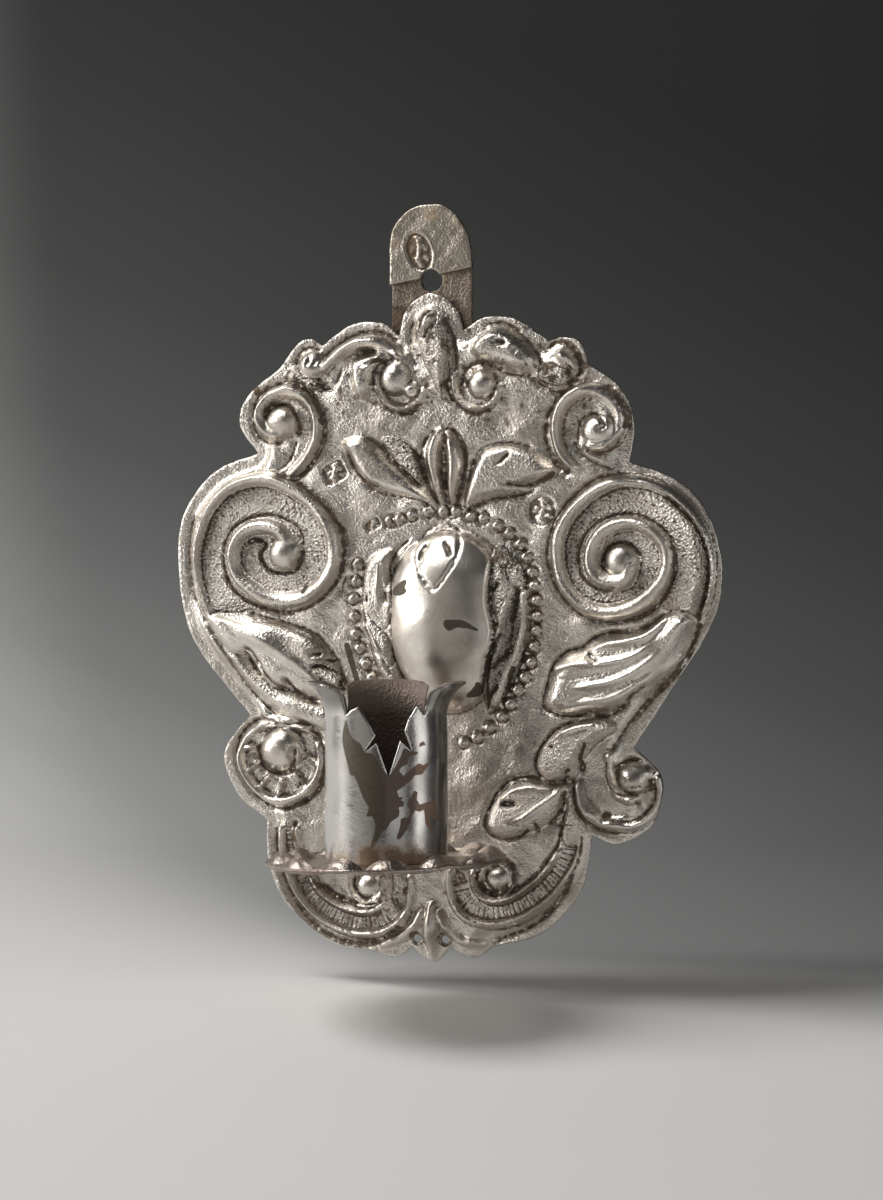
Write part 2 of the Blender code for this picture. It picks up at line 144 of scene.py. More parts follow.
# The tongue's edge from its lower right corner over the top to the lower left.
TONGUE_EDGE = (
    (5.8, 1.49), (5.75, 2.4), (5.5, 4.7), (5.2, 6.1), (4.5, 7.3), (3.8, 8.3), (3.1, 9.0), (2.4, 9.5),
    (1.4, 9.95), (0, 10.0), (-1.4, 9.95), (-2.8, 9.5), (-3.7, 8.9), (-4.7, 7.9), (-5.4, 6.8),
    (-5.6, 6.0), (-5.8, 4.2), (-5.75, 2.6), (-5.8, -0.49),
)

# Yellow-brown spots on the tongue: middle, radius, strength.
TONGUE_SPOTS = (((0.2, 8.6), 1.5, 0.75), ((-5.0, 5.2), 0.9, 0.6), ((3.4, 7.9), 0.8, 0.45))

TONGUE_SCRATCHES = (((-5.7, 4.6), (-4.7, 3.4)), ((-5.6, 3.5), (-4.6, 4.6)), ((2.2, 1.5), (4.9, 2.2)))
STRAP_SCRATCHES = (((1.8, -0.6), (5.2, -0.2)), ((2.0, -1.2), (5.4, -0.9)), ((2.4, -1.7), (5.0, -1.6)))

# Turns of the bosses round the drip pan, in degrees from the socket's front notch.
PAN_BOSSES = (2, 31, 60, 92, 120, 150, 180, -150, -120, -90, -57, -24)

# The socket's upper edge as (degrees from the front notch, height above its foot): the V
# cut with its barbs from left to right, and the ears and notches of one side.
SOCKET_V = (
    (-25.9, 19.6), (-16.1, 17.6), (-9, 16), (-18.9, 14.1), (-8.1, 15.1), (3.1, 11), (14.1, 15.4),
    (25.3, 14.1), (18.4, 16.5), (22.3, 18), (30.5, 19.6),
)
SOCKET_EARS = (
    (35, 19.1), (39.5, 18.5), (42.0, 19.6), (44, 21.2), (48, 22.4), (56, 23.0), (68, 23.3), (90, 23.4),
    (112, 23.3), (124, 23.0), (132, 22.2), (136, 20.4), (138, 18.5), (140, 20.4), (144, 22.2),
    (152, 23.0), (162, 23.3), (171, 23.4), (180, 23.4),
)

# Dark sharp-edged tarnish on the socket, as (degrees, height above its foot).
SOCKET_PATCHES = (
    ((-39.1, 18.1), (-34.4, 16.2), (-30.6, 15.6), (-22.9, 15), (-18.9, 13.9), (-16.1, 13.9),
     (-12.3, 13.9), (-8.5, 13.3), (-3, 12), (1.6, 11.3), (4.3, 11.2), (9.8, 12.3), (14.5, 13.5),
     (16.4, 14.3), (19.3, 14.5), (23.8, 14.1), (31.6, 14), (31.6, 13.7), (24.3, 13.5), (21.3, 13),
     (21.3, 12.5), (15.5, 12.2), (12.6, 11.7), (17.4, 11), (19.3, 11.4), (25.3, 12), (32.7, 12.6),
     (37.2, 12.3), (44.6, 12.8), (45.9, 12.6), (38.4, 11.5), (36, 11.2), (28.4, 11.1), (23.3, 10.3),
     (16.4, 9.7), (10.8, 9.2), (12.6, 8.5), (18.4, 8.4), (13.6, 8.1), (17.4, 7.9), (17.4, 7.3),
     (12.2, 7.2), (13.6, 6.7), (12.6, 6.1), (5.2, 5.4), (0.6, 4.4), (-3, 4.2), (-4.9, 3.6), (-10.4, 2.3),
     (-13.2, 2.1), (-13.7, 2.7), (-11.3, 3.4), (-9.5, 4.3), (-9, 4.9), (-9.9, 5.6), (-12.3, 6.1),
     (-18, 6), (-17, 6.4), (-15.1, 7.2), (-20.9, 8.4), (-25.9, 10), (-30.1, 11), (-34.4, 11.1),
     (-37.9, 12.7), (-42.8, 14.7), (-44, 15.6), (-42.8, 16.8)),
    ((28.4, 9.2), (31.6, 9), (30.5, 8.1), (33.8, 7.5), (40.8, 7.7), (43.3, 7.8), (50.1, 7.9), (53.9, 7.7),
     (56.4, 5.5), (50.1, 5.5), (45.9, 6), (44.6, 5.7), (45.9, 5), (50.1, 4.3), (53.1, 3.7), (48.6, 3.8),
     (43.3, 4.5), (39.6, 5.1), (39, 6), (38.4, 6.8), (32.7, 6.6), (28.9, 6.8), (25.8, 6.3), (23.3, 5.2),
     (19.3, 4.3), (13.6, 3.3), (10.8, 3.3), (10.8, 3.8), (13.6, 4.8), (14.5, 5.8), (16.4, 5.9), (19.3, 6),
     (21.3, 5.8), (23.3, 6.9), (20.3, 7.5), (22.3, 8.3), (24.3, 8.4), (27.3, 9.1)),
    ((37.2, 15.3), (40.8, 14.8), (36, 14.7), (31.6, 14.5), (33.8, 15.1)),
    ((24.3, 15.1), (27.3, 15.1), (26.8, 14.6), (25.3, 14.3)),
)

# Width of the arm's front leg at each level, from its lowest point up.
ARM_LEG = (
    (-82.5, 1.2), (-81.9, 1.9), (-81.3, 2.0), (-80.6, 1.5), (-80.1, 1.1), (-79.5, 1.7), (-78.0, 1.8),
    (-76.0, 1.9),
)

# The plate's outline, anticlockwise from the left foot of the crown leaf.
OUTLINE = (
    ((-4.4, -7.3), (-6.8, -5.5), (-11.3, -5.6), (-15.5, -8.3)),
    ((-15.5, -8.3), (-17.1, -7.3), (-19.0, -7.9), (-21.9, -11.3)),
    ((-21.9, -11.3), (-26.4, -14.7), (-27.6, -18.6), (-24.9, -22.5)),
    ((-24.9, -22.5), (-31.3, -24.9), (-35.8, -30.3), (-36.8, -37.3), (-34.6, -47.5), (-26.1, -57.8)),
    ((-26.1, -57.8), (-29.9, -62.9), (-27.9, -68.5), (-23.6, -71.8)),
    ((-23.6, -71.8), (-23.4, -77.3), (-20.8, -83.0), (-14.5, -87.9), (-7.6, -89.1)),
    ((-7.6, -89.1), (-4.7, -89.7), (-2.6, -88.1)),
    ((-2.6, -88.1), (-1.1, -89.4), (0.3, -90.1), (1.6, -89.6), (2.7, -88.0)),
    ((2.7, -88.0), (6.1, -89.4), (8.9, -87.8)),
    ((8.9, -87.8), (15.8, -85.7), (21.0, -80.0), (22.5, -72.8)),
    ((22.5, -72.8), (26.1, -73.9), (30.9, -71.0), (32.1, -65.4), (28.2, -61.3)),
    (
        (28.2, -61.3), (33.6, -53.3), (38.7, -45.2), (40.0, -38.5), (38.2, -31.5), (34.3, -27.1),
        (27.6, -24.5),
    ),
    ((27.6, -24.5), (28.2, -19.6), (26.5, -15.0), (22.0, -11.7)),
    ((22.0, -11.7), (20.9, -8.8), (18.6, -8.1), (16.5, -8.5)),
    ((16.5, -8.5), (12.3, -5.7), (8.0, -5.1), (4.7, -6.8)),
    ((4.7, -6.8), (4.0, -4.5), (2.3, -2.6), (0.1, -1.7), (-1.7, -2.3), (-3.6, -4.1), (-4.4, -7.3)),
)

# Ornament embossed and chased into the plate. First the crests of the four scrolls that are
# also hatched, each from its outer end to its eye.
LEFT_SCROLL = (
    (-31, -44.5), (-32.2, -41.5), (-33, -38.5), (-33.1, -35.5), (-32.4, -32.5), (-31, -29.7),
    (-28.8, -27.5), (-25.8, -26.2), (-22.6, -26), (-19.3, -27.1), (-16.3, -29.1), (-14.1, -31.7),
    (-13, -34.5), (-13, -37.5), (-14.2, -40), (-16.4, -41.8), (-19.3, -42.6), (-22.3, -42.2), (-25, -40.9),
    (-27.1, -39), (-27.8, -36.8), (-27.3, -34.5), (-25.6, -32.8), (-23, -32.3), (-20.7, -33),
    (-19.4, -34.4)
)

RIGHT_SCROLL = (
    (36.4, -46), (38, -43), (38.7, -40), (38.7, -36.5), (37.5, -33), (35, -29.8), (31.5, -27.6),
    (27.4, -26.9), (23.4, -28.3), (20.4, -30.8), (18.7, -34), (18.5, -37.5), (19.6, -40.7), (21.8, -43),
    (24.8, -44), (28.4, -43.4), (31.5, -41.4), (33.4, -38.6), (33.3, -35.6), (31.2, -33.2), (28.2, -32.2),
    (25.2, -33), (23.3, -35.1), (22.9, -37.6), (24, -39.6), (26.2, -40.2), (27.9, -39.6), (28.5, -38)
)

UPPER_LEFT_SCROLL = (
    (-19.5, -25.6), (-17.3, -23.6), (-15.8, -21.3), (-15.4, -18.7), (-16.1, -16.3), (-17.9, -14.6),
    (-20.3, -13.9), (-22.6, -14.4), (-23.9, -16), (-24.2, -18), (-23.2, -19.7), (-21.4, -20.4)
)

UPPER_RIGHT_SCROLL = (
    (20.4, -25.2), (18.8, -23.4), (18, -21), (18.1, -18.6), (19.2, -16.4), (21.3, -15), (23.8, -14.9),
    (25.9, -16.3), (26.9, -18.5), (26.6, -20.9), (25.1, -22.4), (23, -22.6)
)

# Ridges: rises along the crest, widths to the left and right of its direction, crest.
RIDGES = (
    # left scroll
    ((1.2, 1.8, 1.9, 2, 2, 2, 2, 2.2, 2.3), (0.5, 0.7, 0.9, 1, 1.3, 1.5, 1.2, 1.1, 1.4),
     (0.5, 0.8, 1, 1.5, 1.5, 2, 1.7, 1.4, 1.8), LEFT_SCROLL),
    # left leaf back
    ((1.6, 2.3, 2.6, 2.5, 2), (0.8, 1.4, 1.6, 1.4, 0.8), (1.2, 2.4, 2.8, 2.6, 1.2), ((-30.3, -44.9),
     (-26.8, -46), (-22.3, -47.9), (-18.3, -50.4), (-15.3, -52.6))),
    # lower left scroll
    ((1, 1.4, 1.4, 1.4, 1.2, 0.8), (0.7,), (0.9,), ((-16.7, -59.6), (-19.3, -58.9), (-22.3, -58.8),
     (-24.9, -59.7), (-26.6, -61.7), (-26.7, -64.2), (-25.3, -66.9), (-23, -68.8), (-20.6, -69.2),
     (-18.1, -68.4), (-16, -66.6), (-15.1, -64.2), (-15.4, -61.9))),
    # left foot outer ridge
    ((1.2, 1.5, 1.6, 1.6, 1.4, 0.9), (0.55,), (0.7,), ((-20.9, -73), (-20.7, -75.5), (-19.8, -78.5),
     (-18.4, -81.5), (-16, -84.2), (-13, -85.9), (-10, -86.6), (-7, -86.4), (-4.6, -85.4), (-3, -83.7),
     (-2.3, -81.4), (-2.6, -79.2))),
    # left foot inner ridge
    ((1, 1.5, 1.5, 1.5, 1.2), (0.6,), (0.6,), ((-18.9, -73), (-18.6, -75.2), (-17.1, -78.3), (-15.5, -80.7),
     (-13.5, -82.3), (-11, -83.3), (-8.2, -83.6), (-6, -82.7))),
    # left foot eye ring
    ((1.2,), (0.5,), (0.5,), ((-10.4, -78.3), (-10.7, -80.2), (-9.8, -81.8), (-8.2, -82.4), (-6.6, -81.6),
     (-5.9, -80), (-6.2, -78.4))),
    # right foot outer ridge
    ((1.1, 1.5, 1.6, 1.6, 1.4, 1.2, 1), (0.7,), (0.5,), ((21.4, -72.6), (21, -75), (20, -77.4),
     (18.6, -79.6), (17, -81.3), (15.5, -82.4), (13.5, -83.6), (11.1, -84.4), (8.6, -84.7), (5.8, -84),
     (4, -82.2), (3.3, -79.8), (3.5, -78))),
    # right foot inner ridge
    ((0.8, 1.4, 1.5, 1.5, 1.3, 1), (0.5,), (0.6,), ((18.2, -75.2), (17.1, -76.9), (15.9, -78.3),
     (14, -79.9), (12, -81.1), (10, -81.7), (8.2, -81.4), (6.9, -80.1), (6.5, -78.3))),
    # right foot eye ring
    ((1.2, 1.3, 1.2), (0.5,), (0.5,), ((7.6, -78.9), (8.2, -77.4), (9.8, -76.6), (11.4, -77.1),
     (12.2, -78.7), (11.6, -80.3), (10, -81))),
    # right scroll
    ((1, 1.6, 1.9, 2, 2, 2, 2, 2.2, 2.3), (0.4, 0.6, 0.9, 1.2, 1.2, 1.7, 1.6, 1.5, 1.8),
     (0.4, 0.5, 0.8, 1, 1.1, 1.3, 1.2, 1.1, 1.4), RIGHT_SCROLL),
    # right leaf top
    ((1.6, 2.6, 2.9, 2.6, 1.6), (1,), (0.7, 1.2, 1.2, 1, 0.5), ((22.9, -49.2), (25.3, -48.1), (28.3, -47.6),
     (30.9, -46.9), (33.3, -45))),
    # right leaf second
    ((2, 2.7, 2.8, 2.5, 1.8), (1, 1.2, 1.2, 1.2, 0.8), (1, 1.2, 1.2, 1.2, 0.8), ((18.7, -51.3),
     (21.3, -50.6), (25.3, -50.4), (29.3, -49.4), (33.3, -46.8))),
    # right leaf third
    ((1.8, 2.7, 2.8, 2.5, 1.8), (1, 1.3, 1.3, 1.2, 0.8), (1, 1.3, 1.3, 1.2, 0.8), ((18.8, -53.9),
     (22.3, -53.5), (26.3, -52.8), (30.3, -50.8), (34.3, -47.2))),
    # right leaf fourth
    ((1.6, 2.3, 2.4, 2, 1.4), (1.2,), (1.4,), ((18.7, -56), (22.1, -55.5), (25.6, -55), (29.6, -53),
     (34.1, -49.6))),
    # right second leaf crest
    ((1.8, 2.3, 2), (0.8,), (1,), ((17.2, -61.6), (18.7, -60), (21.1, -58.9), (23.5, -58.5))),
    # right third leaf crest
    ((1.6, 2.2, 2), (0.8,), (0.9,), ((10.9, -68.4), (12.5, -67.2), (14.9, -66.7), (17.7, -67))),
    # right third leaf low crest
    ((1.6, 2.3, 2.1), (1.3,), (1.3,), ((10.5, -71.4), (13.3, -71), (16.3, -69.2), (18.8, -67.4))),
    # lower right scroll
    ((0.8, 1.5, 1.6, 1.4, 1.2, 1), (0.9, 1.4, 1.4, 1, 0.8), (0.8,), ((21.1, -66.4), (21.8, -69),
     (23.6, -71), (26.2, -71.5), (28.8, -71.2), (30.8, -69.6), (31.7, -67.4), (31.5, -65.4))),
    # lower right scroll 2
    ((1, 1.4, 1.3, 1), (0.7,), (0.8,), ((25.3, -62.5), (25.5, -65.2), (26.7, -67.4), (28.5, -68))),
    # upper left scroll
    ((1, 1.5, 1.6, 1.5, 1.5, 1.5), (0.6, 1, 1.2, 1.4, 1.2, 1.4), (0.6,), UPPER_LEFT_SCROLL),
    # left acanthus
    ((1, 1.6, 1.7, 1.6, 1), (0.8,), (1, 1.4, 1.4, 1.2, 0.8), ((-14.7, -11.2), (-12.9, -9.3), (-9.9, -7.9),
     (-6.9, -7.8), (-4.8, -9.1), (-3.8, -10.9))),
    # left berry ring
    ((1, 1.3, 1.2), (0.5,), (0.6,), ((-7.2, -12.3), (-6.8, -14.6), (-5.4, -16.4), (-3.4, -17),
     (-1.3, -16.2), (-0.3, -14.8))),
    # right berry ring
    ((1, 1.2, 1), (0.5,), (0.5,), ((3.9, -13), (4.2, -15.2), (5.7, -16.8), (7.8, -17.2), (9.5, -16.2),
     (10.3, -14.6))),
    # upper right scroll
    ((1, 1.5, 1.6, 1.6, 1.5, 1.5), (0.6,), (0.6, 1, 1.2, 1.4, 1.2, 1.4), UPPER_RIGHT_SCROLL),
    # boss right vein
    ((1.6, 2, 1.2), (0.6,), (0.6,), ((12.4, -39), (12, -42.4), (11.2, -45), (10.6, -48.2))),
    # boss right vein 2
    ((1.6, 1.9, 1.2), (0.7,), (0.7,), ((13.9, -41.5), (13.9, -45.5), (12.9, -49), (11.3, -52.4),
     (9.7, -55.6))),
    # boss left vein
    ((1.6, 2, 1.4), (0.8,), (0.8,), ((-6.4, -37.6), (-6.6, -41), (-6.2, -44))),
    # boss left vein 2
    ((1.4, 1.8, 1.2), (0.8,), (0.8,), ((-8.1, -45.6), (-6.7, -48.4), (-5.3, -51.4), (-4.1, -53.4))),
    # pendant leaf
    ((0.9, 1.3, 1.2, 0.6), (0.6, 1.1, 1.1, 0.5), (0.6, 1.1, 1.1, 0.5), ((0.6, -82.6), (0.5, -85),
     (0.4, -87.2), (0.4, -89.2))),
    # pendant left
    ((0.6, 1.1, 0.8), (0.7,), (0.7,), ((-0.8, -83.6), (-2, -85.6), (-4.6, -87.4), (-6.6, -88))),
    # pendant right
    ((0.6, 1.1, 0.8), (0.7,), (0.7,), ((1.6, -83.6), (2.8, -85.6), (4.8, -87.2), (7.2, -87.4))),
)

# The small petals round the lower left eye.
PETALS = (
    ((-24.2, -64.2), (-26, -65.6)), ((-22.6, -65.9), (-24.3, -67.7)), ((-20.5, -66.6), (-21.4, -68.6)),
    ((-24.9, -62), (-26.3, -62.2)), ((-18.5, -65.6), (-17.1, -67.4)), ((-17.3, -63), (-15.9, -64.2)),
)

# Domes: middle, half sizes, turn, rise.
DOMES = (
    ((-20, -36.2), 2.7, 2.5, 0, 2.5),  # left eye
    ((-20.7, -62.3), 3.1, 2.9, 0, 2.7),  # lower left eye
    ((-8.1, -80.2), 1.9, 1.8, 0, 1.7),  # left foot eye
    ((10.2, -78.7), 1.7, 1.6, 0, 1.7),  # right foot eye
    ((27.3, -37.4), 2.5, 2.5, 0, 2.5),  # right eye
    ((28.8, -65.2), 2.2, 2, 0, 2.1),  # lower right eye
    ((-20.6, -18.4), 2.5, 2.1, 0, 1.9),  # upper left eye
    ((-16.5, -10.9), 1.7, 2, 0, 1.5),  # left bud
    ((-4.4, -13), 2, 2.2, 0, 1.8),  # left berry
    ((-2.2, -14.6), 1, 0.9, 0, 1.3),  # left berry knob
    ((7.8, -14), 1.9, 1.9, 0, 1.8),  # right berry
    ((23.9, -20.4), 2.3, 2.1, 0, 1.9),  # upper right eye
)

# Leaves: rise, width of the rounded edge, strength of the punched ground, outline.
LEAVES = (
    # left leaf lower lobe
    (1.3, 2, 0.15, ((-30, -48.6), (-27.2, -49.2), (-24.6, -52), (-21.4, -54), (-19, -54.6), (-15.2, -55.8),
     (-13.1, -57), (-12.8, -59), (-15.7, -59.8), (-18.4, -58.9), (-21.7, -57.2), (-25.4, -54),
     (-28.2, -50.6))),
    # left leaf
    (1.9, 2.4, 0.1, ((-32.2, -43.9), (-28.7, -43.9), (-24.7, -44.2), (-20.7, -45), (-17.2, -46.1),
     (-14.8, -47.7), (-13, -49.9), (-11.7, -52.4), (-11.8, -55), (-14.7, -56), (-17.5, -55.4),
     (-19.8, -54.2), (-21.9, -54.2), (-23.8, -52.8), (-25.7, -50), (-28.2, -49.6), (-30.8, -47))),
    # left leaf tip
    (2.1, 1, 0.9, ((-16.2, -51.2), (-14.6, -50.9), (-13, -51.6), (-11.7, -52.7), (-11.5, -54.2),
     (-13.4, -53.9), (-15.2, -52.8))),
    # right foot stem
    (1.1, 1.2, 0.3, ((20.2, -65.8), (20.8, -68), (21.8, -71.2), (21.3, -74), (19.2, -74.2), (18.8, -71.5),
     (19.6, -68))),
    # right leaf
    (2.1, 2.2, 0.1, ((34.1, -43.6), (32, -45.3), (29.3, -46.4), (25.6, -46.8), (23.2, -47.6), (21.6, -48.8),
     (19.6, -49.3), (18, -51), (17.2, -53), (16.5, -55.2), (17, -56.7), (19.8, -57.3), (23, -56.6),
     (25.8, -56.6), (28.6, -54.6), (31.3, -52.9), (34.2, -50.6), (36.4, -47.2), (37, -44.6))),
    # right second leaf
    (1.8, 1.5, 0.45, ((24.5, -57.6), (21.8, -58.2), (19.3, -58.6), (17.2, -60), (15.8, -62), (15.4, -64.2),
     (16.8, -65.8), (19, -65.9), (20.9, -65.2), (22, -62.8), (24, -60.6), (26.3, -58.9))),
    # right third leaf
    (1.7, 1.5, 0.3, ((19.9, -66.1), (17.2, -66.2), (14.6, -65.8), (12, -66.4), (10.2, -67.8), (8.9, -69.8),
     (8.6, -71.8), (9.4, -73), (11.6, -73.4), (13.6, -72.9), (15.6, -72), (17.6, -70.9), (19, -69.6),
     (19.8, -67.8))),
    # left bud calyx
    (0.9, 0.9, 0.7, ((-20.8, -12.2), (-19.4, -11), (-17.8, -11.9), (-15.8, -12.5), (-15, -13.8),
     (-16.8, -14.2), (-19, -13.2))),
    # left acanthus drop
    (1.9, 1.4, 0, ((-10.7, -10.6), (-9.3, -10), (-6.5, -9.7), (-6.1, -10.8), (-7.3, -12.6), (-7.7, -14.4),
     (-9.1, -15.8), (-10.3, -14.6), (-10.8, -12.6))),
    # crown leaf
    (1.5, 1.6, 0.35, ((0.4, -3.4), (-1.2, -4.6), (-1.7, -6.8), (-1, -9), (-0.4, -11), (0.6, -12.6),
     (1.6, -14.9), (2.8, -14.9), (3.3, -12.6), (3.7, -10.4), (3.6, -7.6), (2.6, -5))),
    # crown bud
    (2.4, 1, 0, ((0.7, -4.2), (-0.3, -5), (-0.8, -6.8), (-0.5, -7.9), (0.4, -7.3), (1.2, -6.2), (1.6, -5.2),
     (1.2, -4.3))),
    # right acanthus
    (2.1, 1.6, 0.05, ((6.2, -9.6), (6.9, -8), (8.5, -6.5), (10.3, -6.2), (12.7, -7.2), (14.5, -9),
     (15.5, -11), (15.1, -12.4), (13.7, -12.6), (11.7, -12.2), (9.5, -11.4), (7.5, -10.9))),
    # right bud
    (1.7, 1, 0, ((17.5, -10.2), (18.3, -9.5), (19.4, -9.7), (20.4, -11), (20.7, -12.8), (19.7, -12.2),
     (18.5, -11.3))),
    # right bud calyx
    (1, 1, 0.9, ((16.4, -11.4), (17.8, -11.6), (19.4, -12.6), (20.2, -13.6), (19.2, -14.4), (17, -14.2),
     (15.4, -13))),
    # palmette right
    (1.7, 1.4, 0.1, ((6.6, -24.9), (7.7, -22.9), (9.4, -22.1), (12.4, -22), (15.2, -22.9), (16.8, -24.2),
     (18.3, -25.2), (16.4, -26.7), (14.2, -27.4), (11.6, -28.6), (8.2, -29.4), (5.6, -30.6), (5.4, -28.6))),
    # palmette left
    (1.7, 1.4, 0.05, ((-12, -21.3), (-9.6, -20.6), (-7.6, -21.4), (-5.4, -23.4), (-3, -25.4), (-0.6, -27.4),
     (0.9, -29.6), (-1.8, -29.2), (-5.4, -28.3), (-8, -27.2), (-10, -25), (-11.1, -22.9))),
    # palmette left back
    (1.2, 1, 1, ((-6.3, -20.9), (-3.7, -21.2), (-1.5, -23), (-0.5, -25.4), (-0.7, -27.2), (-2.9, -25.4),
     (-5.3, -23))),
    # palmette middle left
    (1.9, 1.2, 0, ((2, -19.6), (0.7, -20.8), (-0.1, -22.9), (0.2, -25.2), (1.1, -27.8), (2.3, -30.3),
     (2.7, -28), (2.3, -25), (2.4, -21.6))),
    # palmette middle right
    (1.8, 1.2, 0, ((2.8, -20.2), (4, -20.6), (5.1, -22.4), (5.4, -24.4), (4.8, -27.2), (3.7, -30.2),
     (3.1, -28.4), (2.8, -25))),
    # boss left leaf
    (1.4, 1.4, 0.2, ((-4.9, -35.6), (-7.3, -36.2), (-8.9, -38.2), (-9.2, -41.5), (-8.8, -45), (-7.9, -49),
     (-6.5, -52.4), (-4.3, -54.2), (-3.3, -53), (-4.1, -50), (-4.3, -46), (-4.3, -41), (-4.5, -37.6))),
    # boss right leaf
    (1.3, 1.3, 0.9, ((9.8, -35.4), (12, -36.4), (13.6, -38.6), (14.3, -42), (14.3, -46), (13.6, -49.6),
     (12.2, -53), (10.2, -56), (8.6, -57.2), (8.2, -54), (9.2, -50), (10.2, -46.6), (9.6, -42))),
)

